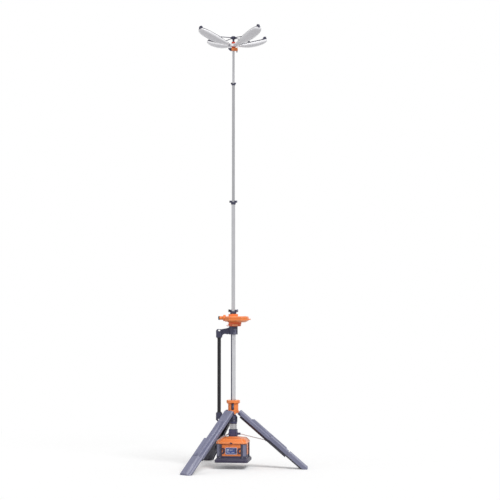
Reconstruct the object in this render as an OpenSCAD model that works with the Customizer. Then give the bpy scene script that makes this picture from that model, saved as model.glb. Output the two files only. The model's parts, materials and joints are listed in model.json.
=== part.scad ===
// Mobile light tower: a power pack hung in a three-legged stand, a four-stage
// telescopic mast and a lamp head of four petals.
// Millimetres. The origin is on the mast's axis at the ground, +Z is up, leg 1
// points along +X and the handle bar stands towards -X. The pack's panel faces -Y.

/* [Stand] */
// Height of the leg hinges above the column's coupling
hinge_lift = 16; // [14:1:40]
// Distance of the leg hinges from the mast's axis
hinge_r = 72; // [70:1:86]
// Angle of the legs from the vertical
leg_angle = 49.5; // [44:0.5:54]
// Width of a leg's channel
leg_w = 112; // [90:1:124]
// Depth of a leg's channel
leg_d = 62; // [54:1:74]
// Cut along the two inner edges of a leg's channel
leg_cut = 26; // [14:1:30]
// Wall of a leg's channel
leg_wall = 3.5; // [2.5:0.5:5]
// Length of a leg's outer channel beyond its hinge
channel_l = 645; // [620:5:690]
// Height of the raised rib along a leg
rib_h = 22; // [10:1:26]
// Diameter of the leg hinge pins
leg_pin_d = 12; // [8:1:14]
// Distance of a stay's pivot from the leg hinge, along the leg
stay_u = 385; // [350:5:410]
// Diameter of a stay
stay_d = 8; // [5:1:10]

/* [Mast] */
// Outer diameter of the fixed bottom tube
tube_1_d = 50; // [46:1:58]
// Wall of the bottom tube
tube_1_wall = 2.5; // [2:0.1:3]
// Wall of the second tube
tube_2_wall = 2; // [1.5:0.1:2.4]
// Wall of the third tube
tube_3_wall = 1.5; // [1.2:0.1:2]
// Wall of the top tube
tube_4_wall = 1.5; // [1.2:0.1:2]
// Room round the second tube in the first, which its foot bush fills
tube_2_room = 3.5; // [1:0.5:4]
// Room round the third tube in the second
tube_3_room = 2; // [1:0.5:4]
// Room round the top tube in the third
tube_4_room = 1; // [0.8:0.1:2]
// Length of the fixed bottom tube
tube_1_l = 1201; // [1150:1:1300]
// Length of the second tube that shows when it is out
tube_2_out = 1095; // [700:1:1130]
// Length of the third tube that shows when it is out
tube_3_out = 1213; // [700:1:1230]
// Length of the top tube that shows when it is out
tube_4_out = 332; // [200:1:400]
// Gap between a tube and what slides on it or carries it
slide_gap = 0.3; // [0.2:0.05:0.6]

/* [Power pack] */
// Height of the pack's base plate above the ground
pack_z = 69; // [60:1:100]
// Side of the square base plate
pack_w = 346; // [300:2:350]
// Height of the pack's body
body_h = 119; // [112:1:130]
// Width of the control panel
panel_w = 112; // [80:1:140]
// Height of the control panel
panel_h = 60; // [50:1:70]

/* [Handle bar] */
// Distance of the handle bar from the mast's axis
bar_r = 149; // [138:1:170]
// Size of the bar's section in line with the mast
bar_x = 34; // [26:1:40]
// Size of the bar's section across
bar_y = 44; // [36:1:50]

/* [Lamp head] */
// Distance of the petal hinges from the mast's axis
petal_r = 45; // [43:1:54]
// Length of a petal from its hinge
petal_l = 405; // [380:5:420]
// Widest half-width of a petal
petal_w = 66; // [50:1:66]
// Deepest part of a petal's shell
petal_d = 52; // [30:1:55]
// Angle of an open petal above the horizontal
petal_angle = 17; // [8:0.5:25]

/* [Hidden] */
$fn = 48;
LEGS = [1, 2, 3];
PETALS = [1, 2, 3, 4];

ORANGE = [0.93, 0.45, 0.2];
SLATE = [0.45, 0.47, 0.57];
NAVY = [0.2, 0.2, 0.27];
BLACK = [0.1, 0.1, 0.11];
SILVER = [0.75, 0.75, 0.77];
PALE = [0.87, 0.87, 0.88];

big = 1000;              // larger than any piece that a cut has to clear
pin_gap = 0.1;           // radial play of a hinge pin in its bore

// Levels, from the ground up
plate_h = 30;
rim_h = 11;              // raised rim plate on the base plate
rim_side = pack_w - 20;
plate_chamfer = 18;
step_h = 25;
step_side = pack_w - 54;
step_chamfer = 52;
body_side = pack_w - 52;
body_chamfer = 52;
eave_gap = 6;            // shadow gap between the body and the lid's eave
eave_h = 14;
eave_side = pack_w - 28;
eave_chamfer = 30;
knee_side = eave_side - 56;
knee_h = 36;             // steep part of the lid, above the eave
lid_rise = 12;
lid_top_side = 112;
step_z = pack_z + plate_h + rim_h;
body_z = step_z + step_h;
plinth_z = body_z + body_h;
eave_z = plinth_z + eave_gap;
lid_slope_z = eave_z + eave_h;
lid_top_z = lid_slope_z + knee_h + lid_rise;
block_z = lid_top_z + 5;
block_side = 85;
block_h = 71;
sleeve_z = block_z + block_h;
tube_seat = 50;          // the bottom tube's length inside the block
sleeve_h = 62;
sleeve_d = tube_1_d + 25;
coupling_z = sleeve_z + sleeve_h;
coupling_h = 86;
coupling_d = tube_1_d + 31;
tube_1_top = sleeve_z + tube_1_l;

// Tubes: each bore is wider than the next tube, whose foot bush fills it
tube_wall = [tube_1_wall, tube_2_wall, tube_3_wall, tube_4_wall];
tube_room = [tube_2_room, tube_3_room, tube_4_room];
function tube_size(i) = i == 0 ? tube_1_d : tube_size(i - 1) - 2 * (tube_wall[i - 1] + tube_room[i - 1]);
tube_d = [for (i = [0:3]) tube_size(i)];
tube_4_d = tube_d[3];
bush_h = 60;
clamp_h = [54, 50, 35];
clamp_d = [tube_d[0] + 17, tube_d[1] + 12, tube_d[2] + 12];
boss_reach = [2, 15, 5];  // how far a clamp's screw bosses stand out of its ring
boss_share = 0.62;       // height of a clamp's screws, as a share of the clamp's height
rest_gap = 5;            // what a retracted section keeps from the clamp below
tube_2_z = tube_1_top + clamp_h[0];
tube_2_top = tube_2_z + tube_2_out;
tube_3_z = tube_2_top + clamp_h[1];
tube_3_top = tube_3_z + tube_3_out;
tube_4_z = tube_3_top + clamp_h[2];
head_z = tube_4_z + tube_4_out;
tube_3_foot = tube_2_top - bush_h - rest_gap;
tube_4_foot = tube_3_top - bush_h - rest_gap;
// The second tube's foot reaches as low as the third's does when that is pushed in
tube_2_foot = min(tube_1_top - bush_h - rest_gap, tube_3_foot - tube_3_out + rest_gap);

// Leg hub on the bottom tube
hinge_z = coupling_z + coupling_h + hinge_lift;
hub_lift = 26;           // the hub's underside above the hinge line
hub_z = hinge_z + hub_lift;
hub_neck_h = 83;
hub_flange_h = 31;
hub_d = tube_1_d + 58;
hub_flange_d = hub_d + 33;
tongue_w = 60;
tongue_r = 12;

// Legs: along the leg u, outwards from it v, across it w
leg_az = [0, 120, -120];
leg_l = hinge_z / cos(leg_angle);
leg_end = 18;            // the channel reaches this far above its hinge
leg_slot = 26;
leg_mouth = 24;          // below the hinge, the inner side is open as far as this
leg_chamfer = 8;
mouth_d = 15.5;          // the open mouth's depth from the inner side
rib_w = 44;
rib_start = 126;
rib_slope = 24;
pad_start = 400;         // housing on one side of the leg, round the extension's lock
pad_t = 8;
pad_end = channel_l - 8;
overlap_l = 38;          // the extension's hidden length in the channel
sole_h = 12;
shoe_wall = 3;
shoe_gap = 1;            // between the channel's end and the foot's sleeve
shoe_raise = 12;         // the extension and the foot are this much shallower than the channel
toe_r = hinge_r + hinge_z * tan(leg_angle) + leg_d / 2 / cos(leg_angle);
stay_v = 1 - leg_d / 2;
ear_w = 9;               // half the gap between a stay's ears
ear_t = 5;
ear_r = 9;
stay_pin_d = 6;
fork_r = 76;             // reach of the block's forks from the axis
web_r = 61;
fork_gap = 7;
fork_t = 3;
stay_in_r = 68;
stay_in_z = sleeve_z - 45;

groove_az = -137;
groove_half = 23;        // half the angle that the tube's groove takes up
groove_t = 1.2;

// Reel housing on the bottom tube's top
collar_h = 24;
housing_h = 63;
drum_h = 42;
housing_z = tube_1_top - collar_h - housing_h;
drum_z = housing_z - drum_h;
bracket_h = 85;
bracket_z = drum_z - bracket_h;
bracket_d = tube_1_d + 42;
housing_x = 37;
housing_r = 118;         // half the width of the eight-sided housing
socket_z = housing_z + 45;
socket_d = 38;
socket_bore = 26;
socket_depth = 28;
socket_end = 156;
flange_x = 82;
flange_t = 22;
flange_d = 66;

// Brackets that hold the handle bar
bar_head_x = bar_x + 26;
bar_head_y = bar_y + 14;
bar_pocket = 15;
eye_w = 28;
eye_h = 17;
arm_t = 30;

// Lamp head
hub_head_h = 48;
head_hub_d = tube_4_d + 19;
hub_shoulder = 34;       // height of the hub's wide part
collar_r = 17;
collar_top = 96;
head_knob_d = 12;
knob_x = clamp_d[2] / 2 + boss_reach[2] + rest_gap + head_knob_d / 2;   // clear of the clamp below
petal_az = [-45, 45, 135, -135];
petal_z = head_z + 63;
petal_pin_d = 8;
eye_r = 9;
root_w = 9;
lug_gap = 11;
lug_t = 8;
frame_t = 8;
frame_w = 18;
shell_start = 17;
strut_a = 172;
strut_b = 14;
strut_d = 8;
strut_pin_d = 6;
strut_eye_r = 7.5;
strut_eye_w = 5;
post_d = tube_4_d - 2 * tube_wall[3] - 2 * slide_gap;
post_foot = head_z - 280;
cap_z = petal_z + 59;
cap_h = 34;
cap_d = 43;
cap_pivot_r = 34;
cap_pivot_z = cap_z + cap_h / 2;

// Places of the stay's pivot and the strut's pivot, as [distance from axis, height]
stay_out = [hinge_r + stay_u * sin(leg_angle) + stay_v * cos(leg_angle),
            hinge_z - stay_u * cos(leg_angle) + stay_v * sin(leg_angle)];
strut_out = [petal_r + strut_a * cos(petal_angle) - strut_b * sin(petal_angle),
             petal_z + strut_a * sin(petal_angle) + strut_b * cos(petal_angle)];

// ---- Shared shapes -------------------------------------------------------

// Rectangle with its four corners cut, shrunk all round by inset
module cut_rect(x, y, cut, inset = 0) {
    a = x / 2 - inset;
    b = y / 2 - inset;
    c = cut - inset * (2 - sqrt(2));
    polygon([[a, b - c], [a - c, b], [c - a, b], [-a, b - c],
             [-a, c - b], [c - a, -b], [a - c, -b], [a, c - b]]);
}

module slab(side, cut, z, h) {
    translate([0, 0, z]) linear_extrude(h) cut_rect(side, side, cut);
}

module ring(d, bore, z, h) {
    translate([0, 0, z]) difference() {
        cylinder(d = d, h = h);
        translate([0, 0, -1]) cylinder(d = bore, h = h + 2);
    }
}

// Bore down the mast's axis for a tube of diameter d
module tube_bore(d, z, h) {
    translate([0, 0, z - 1]) cylinder(d = d + 2 * slide_gap, h = h + 2);
}

// Cylinder between [r, z] points a and b in the plane of the mast's axis
module rod(a, b, d) {
    dx = b[0] - a[0];
    dz = b[1] - a[1];
    translate([a[0], 0, a[1]]) rotate([0, atan2(dx, dz), 0]) cylinder(d = d, h = norm([dx, dz]));
}

// Outline in the plane of the mast's axis, t thick, centred on that plane
module plate_xz(t) {
    rotate([90, 0, 0]) translate([0, 0, -t / 2]) linear_extrude(t) children();
}

// Cylinder across that plane at [r, z]
module cross_pin(p, d, w) {
    translate([p[0], -w / 2, p[1]]) rotate([-90, 0, 0]) cylinder(d = d, h = w);
}

// ---- Power pack ----------------------------------------------------------

module pack_base_plate() {
    color(NAVY) union() {
        slab(pack_w, plate_chamfer, pack_z, plate_h);
        slab(rim_side, plate_chamfer - 5, pack_z + plate_h, rim_h);
        slab(step_side, step_chamfer, step_z, step_h);
    }
}

module pack_body() {
    color(ORANGE) slab(body_side, body_chamfer, body_z, body_h);
}

module pack_lid() {
    color(ORANGE) union() {
        slab(body_side - 8, body_chamfer, plinth_z, eave_gap);
        slab(eave_side, eave_chamfer, eave_z, eave_h);
        hull() {
            slab(eave_side, eave_chamfer, lid_slope_z - 1, 1);
            slab(knee_side, eave_chamfer, lid_slope_z + knee_h - 1, 1);
            slab(lid_top_side, 10, lid_top_z - 1, 1);
        }
        slab(lid_top_side - 8, 8, lid_top_z - 1, block_z - lid_top_z + 1);
    }
}

// A square's corner cut lies this far from the axis
function cut_face_r(side, cut) = (side - cut) / sqrt(2);

module pack_corner_posts() {
    face_r = cut_face_r(body_side, body_chamfer);
    color(NAVY) for (a = [45, 135, 225, 315]) rotate([0, 0, a])
        translate([face_r + slide_gap + 11, 0, step_z]) difference() {
            linear_extrude(eave_z - step_z) cut_rect(22, 72, 7);
            translate([11, 0, 22]) linear_extrude(body_h - 20) cut_rect(8, 24, 2);
        }
}

module control_panel() {
    frame_w = 5;
    color(NAVY) translate([0, -body_side / 2 - slide_gap, body_z + body_h / 2 - 5])
        rotate([90, 0, 0]) difference() {
            linear_extrude(6) cut_rect(panel_w + 2 * frame_w, panel_h + 2 * frame_w, 6);
            translate([0, 0, 4]) linear_extrude(3) cut_rect(panel_w, panel_h, 4);
        }
}

module pack_latches() {
    front = body_side / 2 + slide_gap;
    color(BLACK) {
        for (side = [-1, 1])
            translate([side * (panel_w / 2 + 26), -front, body_z + body_h / 2 - 4])
                rotate([90, 0, 0]) union() {
                    linear_extrude(9) cut_rect(24, 56, 5);
                    translate([0, 4, 0]) linear_extrude(16) cut_rect(14, 30, 4);
                }
        translate([0, -eave_side / 2 - slide_gap, eave_z + 8]) rotate([90, 0, 0])
            cylinder(d = 22, h = 10);
    }
}

// ---- Column and brackets -------------------------------------------------

module mount_block() {
    color(NAVY) difference() {
        union() {
            slab(block_side, 7, block_z, block_h);
            for (a = leg_az) rotate([0, 0, a]) {
                translate([20, -9, stay_in_z - 11]) cube([web_r - 20, 18, 22]);
                for (s = [-1, 1]) translate([20, s * (fork_gap + fork_t / 2) - fork_t / 2,
                                             stay_in_z - 11])
                    cube([fork_r - 20, fork_t, 22]);
            }
        }
        translate([block_side / 2 - 22, -block_side / 2 - 1, block_z + block_h - 20])
            cube([10, 8, 10]);
        translate([0, 0, sleeve_z - tube_seat]) cylinder(d = tube_1_d + 2 * slide_gap, h = tube_seat + 1);
    }
}

module column_sleeve() {
    groove_d = 7;
    color(SILVER) difference() {
        ring(sleeve_d, tube_1_d + 2 * slide_gap, sleeve_z, sleeve_h);
        for (a = [0:30:330]) rotate([0, 0, a + 15])
            translate([sleeve_d / 2 + 1.5, 0, sleeve_z - 1]) cylinder(d = groove_d, h = sleeve_h + 2);
    }
}

module column_coupling() {
    top_r = tube_1_d / 2 + 6;
    color(NAVY) translate([0, 0, coupling_z]) rotate_extrude()
        polygon([[tube_1_d / 2 + slide_gap, 0], [coupling_d / 2 - 2, 0], [coupling_d / 2, 2],
                 [coupling_d / 2, coupling_h - 20], [top_r, coupling_h],
                 [tube_1_d / 2 + slide_gap, coupling_h]]);
}

// Arm and bar head of a bracket, the bar leaving downwards; z = 0 is the head's foot
module bracket_arm(hub_r) {
    head_in = bar_r - bar_head_x / 2;
    head_out = bar_r + bar_head_x / 2;
    head_h = 89;
    arm_low = 37;
    arch_r = 29;
    arch_z = arm_low - arch_r;
    arch_in = hub_r + 4 + arch_r;
    arch_out = head_in - arch_r;
    mirror([1, 0, 0]) difference() {
        union() {
            translate([bar_r, 0, 0]) linear_extrude(head_h - 22) cut_rect(bar_head_x, bar_head_y, 9);
            plate_xz(bar_head_y - 12) polygon([[head_in + 2, 40], [head_out, 40],
                [head_out, head_h - 14], [head_out - 14, head_h], [head_in + 4, head_h - 4]]);
            plate_xz(arm_t) difference() {
                polygon([[hub_r - 6, arm_low], [hub_r + 4, arm_low], [head_in + 4, arm_low - 22],
                         [head_in + 4, head_h - 2], [hub_r + 22, head_h + 8],
                         [hub_r, head_h + 16], [hub_r - 6, head_h + 16]]);
                for (x = [arch_in, arch_out]) translate([x, arch_z]) circle(r = arch_r);
                translate([arch_in, arch_z - arch_r]) square([arch_out - arch_in, 2 * arch_r]);
            }
        }
        translate([bar_r, 0, -1]) linear_extrude(bar_pocket + 1)
            cut_rect(bar_x + 2 * slide_gap, bar_y + 2 * slide_gap, 8);
        translate([bar_r, 0, head_h - 15]) plate_eye();
    }
}

// Oval hole across a bracket's head
module plate_eye() {
    rotate([90, 0, 0]) translate([0, 0, -big / 2]) linear_extrude(big) union() {
        for (s = [-1, 1]) translate([s * (eye_w - eye_h) / 2, 0]) circle(d = eye_h);
        square([eye_w - eye_h, eye_h], center = true);
    }
}

upper_head_z = bracket_z - 32;
lower_head_top = coupling_z + 111;
band_t = 3.3;            // thin, so that the folding stays pass it

module upper_bracket() {
    color(NAVY) difference() {
        union() {
            translate([0, 0, bracket_z]) cylinder(d = bracket_d, h = bracket_h);
            translate([0, 0, upper_head_z]) bracket_arm(bracket_d / 2);
        }
        tube_bore(tube_1_d, upper_head_z, 2 * bracket_h);
    }
}

module lower_bracket() {
    clamp_r = coupling_d / 2 + band_t;
    clamp_z = coupling_z + 16;
    clamp_t = 54;
    color(NAVY) difference() {
        union() {
            translate([0, 0, clamp_z]) cylinder(r = clamp_r, h = clamp_t);
            translate([0, 0, lower_head_top]) mirror([0, 0, 1]) bracket_arm(clamp_r);
        }
        tube_bore(coupling_d, clamp_z - 60, clamp_t + 160);
    }
}

module handle_bar() {
    low = lower_head_top - bar_pocket + slide_gap;
    high = upper_head_z + bar_pocket - slide_gap;
    color(BLACK) translate([-bar_r, 0, low]) difference() {
        linear_extrude(high - low) cut_rect(bar_x, bar_y, 8);
        for (s = [-1, 1]) translate([s * bar_x / 2, 0, 40]) linear_extrude(high - low - 80)
            cut_rect(6, 16, 1.5);
    }
}

// ---- Reel housing --------------------------------------------------------

module reel_drum() {
    drum_x = 18;
    drum_r = 67;
    hook_r = 11;
    color(ORANGE) difference() {
        union() {
            translate([drum_x, 0, drum_z]) rotate_extrude()
                polygon([[0, 0], [drum_r - 9, 0], [drum_r - 4, 6], [drum_r - 4, 20], [drum_r, 24],
                         [drum_r, drum_h], [0, drum_h]]);
            translate([drum_x - drum_r - 8, 0, drum_z + 13]) plate_xz(26) difference() {
                union() {
                    circle(r = hook_r + 2);
                    square([20, 13]);
                }
                circle(r = hook_r - 3);
                translate([-20, 0]) square([20, 20]);
            }
        }
        tube_bore(tube_1_d, drum_z, drum_h);
    }
}

module reel_housing() {
    side = 2 * housing_r;
    cut = 52;
    skin = 1;
    lip_t = 12;
    color(ORANGE) difference() {
        union() {
            translate([housing_x, 0, 0]) hull() {
                slab(side - 62, cut - 14, housing_z, skin);
                slab(side, cut, housing_z + 19, housing_h - 27);
                slab(side - 24, cut - 4, housing_z + housing_h - skin, skin);
            }
            translate([-flange_x, -31, housing_z + 6]) cube([flange_x, 62, housing_h - 8]);
            translate([housing_x, -30, housing_z + 26]) cube([housing_r + 26, 60, lip_t]);
            translate([0, 0, housing_z + housing_h - 1]) cylinder(d = 100, h = collar_h + 1);
        }
        tube_bore(tube_1_d, housing_z, housing_h + collar_h);
    }
}

module reel_socket() {
    color(ORANGE) translate([-flange_x, 0, socket_z]) rotate([0, -90, 0]) difference() {
        union() {
            cylinder(d = flange_d, h = flange_t);
            cylinder(d = socket_d, h = socket_end - flange_x);
        }
        translate([0, 0, socket_end - flange_x - socket_depth])
            cylinder(d = socket_bore, h = socket_depth + 1);
    }
}

// ---- Mast ----------------------------------------------------------------

// Shallow groove along the bottom tube's outside, between its sleeve and the upper bracket
module tube_groove() {
    half_w = big * tan(groove_half);
    translate([0, 0, sleeve_z + sleeve_h]) linear_extrude(bracket_z - sleeve_z - sleeve_h)
        difference() {
            rotate(groove_az) polygon([[0, 0], [big, half_w], [big, -half_w]]);
            circle(d = tube_1_d - 2 * groove_t);
        }
}

// Tube number i (from 0) between two heights, with a foot bush if it slides
module mast_tube(i, foot, top, bush = true) {
    bore = tube_d[i] - 2 * tube_wall[i];
    color(SILVER) difference() {
        union() {
            translate([0, 0, foot]) cylinder(d = tube_d[i], h = top - foot);
            if (bush) translate([0, 0, foot])
                cylinder(d = tube_d[i - 1] - 2 * tube_wall[i - 1] - 2 * slide_gap, h = bush_h);
        }
        translate([0, 0, foot - 1]) cylinder(d = bore, h = top - foot + 2);
        if (i == 0) tube_groove();
    }
}

// Clamp number i on top of tube i, round the next tube
module mast_clamp(i, z) {
    ring_h = clamp_h[i] * 0.5;
    boss_z = z + clamp_h[i] * boss_share;
    boss_d = clamp_h[i] * 0.46;
    boss_r = clamp_d[i] / 2 + boss_reach[i];
    color(NAVY) difference() {
        union() {
            translate([0, 0, z]) rotate_extrude()
                polygon([[0, 0], [clamp_d[i] / 2 - 4, 0], [clamp_d[i] / 2, 6],
                         [clamp_d[i] / 2, ring_h - 4], [clamp_d[i] / 2 - 4, ring_h], [0, ring_h]]);
            translate([-boss_r, 0, boss_z]) rotate([0, 90, 0]) cylinder(d = boss_d, h = 2 * boss_r);
        }
        tube_bore(tube_d[i + 1], z, clamp_h[i]);
        children();
    }
}

knob_pin_d = 10;
knob_depth = 12;         // length of a knob's stem inside its boss
knob_r = clamp_d[0] / 2 + boss_reach[0];
knob_z = tube_1_top + clamp_h[0] * boss_share;

module knob_bores() {
    for (s = [0, 180]) rotate([0, 0, s]) translate([knob_r - knob_depth - 1, 0, knob_z])
        rotate([0, 90, 0]) cylinder(d = knob_pin_d + 2 * pin_gap, h = knob_depth + 2);
}

// Lobed knob with its stem, on the +X side of the bottom clamp
module clamp_knob() {
    head_t = 13;
    lobes = 5;
    lobe_d = 11;
    lobe_r = 9.5;
    translate([knob_r - knob_depth, 0, knob_z]) rotate([0, 90, 0]) union() {
        cylinder(d = knob_pin_d, h = knob_depth + 4);
        translate([0, 0, knob_depth + 2]) linear_extrude(head_t) union() {
            circle(d = 2 * lobe_r + 1);
            for (k = [0:lobes - 1]) rotate(k * 360 / lobes + 18)
                translate([lobe_r, 0]) circle(d = lobe_d);
        }
    }
}

// ---- Leg hub -------------------------------------------------------------

module leg_hub() {
    window_w = 30;
    lug_r = hub_d / 2 - 8;
    color(ORANGE) difference() {
        union() {
            translate([0, 0, hub_z]) rotate_extrude()
                polygon([[0, 0], [hub_d / 2, 0], [hub_d / 2, hub_neck_h - 8],
                         [hub_flange_d / 2 - 3, hub_neck_h], [hub_flange_d / 2, hub_neck_h + 4],
                         [hub_flange_d / 2, hub_neck_h + hub_flange_h - 3],
                         [hub_flange_d / 2 - 3, hub_neck_h + hub_flange_h],
                         [0, hub_neck_h + hub_flange_h]]);
            for (a = leg_az) rotate([0, 0, a]) {
                plate_xz(tongue_w) polygon([[30, hub_z + 4], [30, hub_z - 4],
                    [hinge_r - 13, hinge_z - 2], [hinge_r, hinge_z - 4], [hinge_r, hinge_z + tongue_r],
                    [hub_d / 2 - 2, hub_z + 8]]);
                cross_pin([hinge_r, hinge_z], 2 * tongue_r, tongue_w);
                rotate([0, 0, 60]) translate([lug_r - 7, 0, 0]) rotate([90, 0, 90])
                    linear_extrude(14) polygon([[-18, hub_z + 2], [-18, hub_z - 2],
                        [-4, hub_z - 32], [4, hub_z - 32], [18, hub_z - 2], [18, hub_z + 2]]);
            }
        }
        tube_bore(tube_1_d, hinge_z - 60, big / 4);
        for (a = leg_az) rotate([0, 0, a])
            cross_pin([hinge_r, hinge_z], leg_pin_d + 2 * slide_gap, tongue_w + 2);
        translate([-window_w / 2, -hub_flange_d, hub_z + 12])
            cube([window_w, hub_flange_d - hub_d / 2 + 14, hub_neck_h - 6]);
    }
}

module hub_latch() {
    face_y = -hub_d / 2 + 14 - slide_gap;
    color(NAVY) translate([0, face_y, hub_z + 47]) rotate([90, 0, 0]) union() {
        linear_extrude(6) cut_rect(26, 66, 4);
        translate([0, -14, 0]) linear_extrude(15) cut_rect(22, 24, 5);
    }
}

module hub_pins() {
    head_d = leg_pin_d + 7;
    head_t = 3;
    color(SILVER) for (a = leg_az) rotate([0, 0, a]) {
        cross_pin([hinge_r, hinge_z], leg_pin_d, leg_w + 2);
        for (s = [-1, 1]) translate([0, s * (leg_w / 2 + 0.5 + head_t / 2), 0])
            cross_pin([hinge_r, hinge_z], head_d, head_t);
    }
}

// ---- Legs ----------------------------------------------------------------

// Puts a leg that hangs straight down from its hinge, outer side towards +X, in its place
module on_leg(i) {
    rotate([0, 0, leg_az[i - 1]]) translate([hinge_r, 0, hinge_z])
        rotate([0, -leg_angle, 0]) children();
}

// Section of a leg: its inner side, towards -X, has the wider cuts and may be raised
module leg_section(inset = 0, raise = 0) {
    a = leg_d / 2 - inset;
    low = raise - a;
    b = leg_w / 2 - inset;
    out = leg_chamfer - inset * (2 - sqrt(2));
    inn = leg_cut - inset * (2 - sqrt(2));
    polygon([[a, b - out], [a - out, b], [low + inn, b], [low, b - inn],
             [low, inn - b], [low + inn, -b], [a - out, -b], [a, out - b]]);
}

module leg_channel(i) {
    full_h = channel_l + leg_end;
    color(SLATE) on_leg(i) difference() {
        union() {
            difference() {
                translate([0, 0, -channel_l]) linear_extrude(full_h) leg_section();
                translate([0, 0, -channel_l - 1]) linear_extrude(full_h + 2) leg_section(leg_wall);
                translate([-leg_d, -leg_slot / 2, -big]) cube([leg_d, leg_slot, 2 * big]);
            }
            leg_rib();
            leg_pad();
            for (s = [-1, 1]) translate([0, s * (ear_w + ear_t / 2), 0]) stay_ear();
            cross_pin([stay_v, -stay_u], stay_pin_d, 2 * ear_w + 2);
        }
        cross_pin([0, 0], leg_pin_d + 2 * pin_gap, leg_w + 2);
        translate([-leg_d, -leg_w, -leg_mouth])
            cube([leg_d / 2 + mouth_d, 2 * leg_w, big]);
    }
}

// Raised rib with sloping ends on the outer side
module leg_rib() {
    rib_l = channel_l - rib_start - 5;
    translate([leg_d / 2 - 1, 0, -rib_start]) plate_xz(rib_w)
        polygon([[0, 0], [rib_h + 1, -rib_slope], [rib_h + 1, rib_slope * 2 - rib_l], [0, -rib_l]]);
}

// Outline of the housing round one side of a leg, flush with the rib, as far as y = far
module pad_outline(far, slope) {
    side = leg_w / 2;
    top = leg_d / 2 + rib_h - 4;
    polygon([[-4, 1.5 - side], [-4, 4 - side - pad_t], [2, -side - pad_t], [top - 8, -side - pad_t],
             [top, 8 - side - pad_t], [top, far], [leg_d / 2 - 1.5, far + slope],
             [leg_d / 2 - 1.5, leg_chamfer - side], [leg_d / 2 - leg_chamfer, 1.5 - side]]);
}

module leg_pad() {
    translate([0, 0, -pad_end]) linear_extrude(pad_end - pad_start) pad_outline(1 - rib_w / 2, 0);
}

// One of the two ears that hold a stay's pin beside the channel's slot
module stay_ear() {
    plate_xz(ear_t) translate([stay_v, -stay_u]) union() {
        circle(r = ear_r);
        translate([0, -ear_r - 6]) square([ear_r, 2 * ear_r + 12]);
    }
}

// Half-space below a height above the ground
module below(z) {
    translate([-big, -big, z - 2 * big]) cube([2 * big, 2 * big, 2 * big]);
}

// A leg's section from below the ground up to this distance from the hinge
module leg_run(top_u) {
    translate([0, 0, -leg_l - leg_w]) linear_extrude(leg_l + leg_w - top_u) children();
}

module leg_extension(i) {
    inset = leg_wall + slide_gap;
    color(SLATE) difference() {
        on_leg(i) difference() {
            leg_run(channel_l - overlap_l) leg_section(inset, shoe_raise);
            leg_run(channel_l - overlap_l - 1) leg_section(inset + leg_wall, shoe_raise);
        }
        below(sole_h);
    }
}

// Foot: a sleeve round the extension, with the housing's outline, that ends in a blunt toe
module leg_foot(i) {
    outside = leg_wall - shoe_wall;
    top_u = channel_l + shoe_gap;
    color(SLATE) difference() {
        on_leg(i) union() {
            leg_run(top_u) leg_section(outside, shoe_raise);
            leg_run(top_u) pad_outline(rib_w / 2 - 4, 14);
        }
        below(0);
        rotate([0, 0, leg_az[i - 1]]) translate([toe_r, -big / 2, -1]) cube(big);
        difference() {
            on_leg(i) leg_run(top_u - 1) leg_section(leg_wall, shoe_raise);
            below(sole_h - slide_gap);
        }
    }
}

module leg_stay(i) {
    tip = [stay_in_r, stay_in_z];
    color(SILVER) rotate([0, 0, leg_az[i - 1]]) difference() {
        union() {
            rod(stay_out, tip, stay_d);
            cross_pin(stay_out, 15, 2 * ear_w - 3);
            cross_pin(tip, stay_d, 2 * fork_gap - 4);
        }
        cross_pin(stay_out, stay_pin_d + 2 * pin_gap, 2 * ear_w);
    }
}

// ---- Lamp head -----------------------------------------------------------

// Orange hub: a collar round the post, and a block on one side that carries the knob
module head_hub() {
    block_w = 20;
    color(ORANGE) difference() {
        union() {
            translate([0, 0, head_z]) rotate_extrude()
                polygon([[0, 0], [head_hub_d / 2 - 6, 0], [head_hub_d / 2, 8], [head_hub_d / 2, hub_shoulder - 4],
                         [head_hub_d / 2 - 4, hub_shoulder], [collar_r, hub_shoulder], [collar_r, collar_top],
                         [0, collar_top]]);
            translate([0, 0, head_z]) plate_xz(block_w)
                polygon([[18, 0], [knob_x + 6, 0], [knob_x + 9, 6], [knob_x + 9, 24],
                         [knob_x + 4, hub_shoulder], [18, hub_shoulder]]);
        }
        translate([0, 0, head_z - 1])
            cylinder(d = tube_4_d + 2 * slide_gap, h = hub_head_h + 1);
        translate([0, 0, head_z - 1]) cylinder(d = post_d + 2 * slide_gap, h = collar_top + 2);
    }
}

// Pale ring on the hub's collar with a fork and a hinge pin for each petal
module petal_forks() {
    lug_out = petal_r + 10;
    lug_low = petal_z - 12;
    lug_high = petal_z + 10;
    ring_r = collar_r + 7;
    color(PALE) difference() {
        union() {
            translate([0, 0, lug_low - 6]) cylinder(r = ring_r, h = lug_high - lug_low + 6);
            for (a = petal_az, s = [-1, 1]) rotate([0, 0, a])
                translate([0, s * (lug_gap + lug_t / 2), 0]) plate_xz(lug_t)
                    polygon([[collar_r, lug_low - 5], [lug_out - 14, lug_low - 3], [lug_out, lug_low + 6],
                             [lug_out, lug_high - 5], [lug_out - 5, lug_high], [collar_r, lug_high]]);
            for (a = petal_az) rotate([0, 0, a])
                cross_pin([petal_r, petal_z], petal_pin_d, 2 * lug_gap + 2);
        }
        translate([0, 0, lug_low - 20]) cylinder(r = collar_r + slide_gap, h = 80);
    }
}

// Dark wedge-shaped gusset under the petals, opposite the knob
module head_gusset() {
    color(NAVY) difference() {
        translate([0, 0, head_z]) plate_xz(18)
            polygon([[-16, 0], [-28, 0], [-46, 12], [-56, 26], [-56, hub_shoulder - 2],
                     [-16, hub_shoulder - 2]]);
        translate([0, 0, head_z - 1]) cylinder(d = head_hub_d + 2 * slide_gap, h = hub_shoulder + 2);
    }
}

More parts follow.
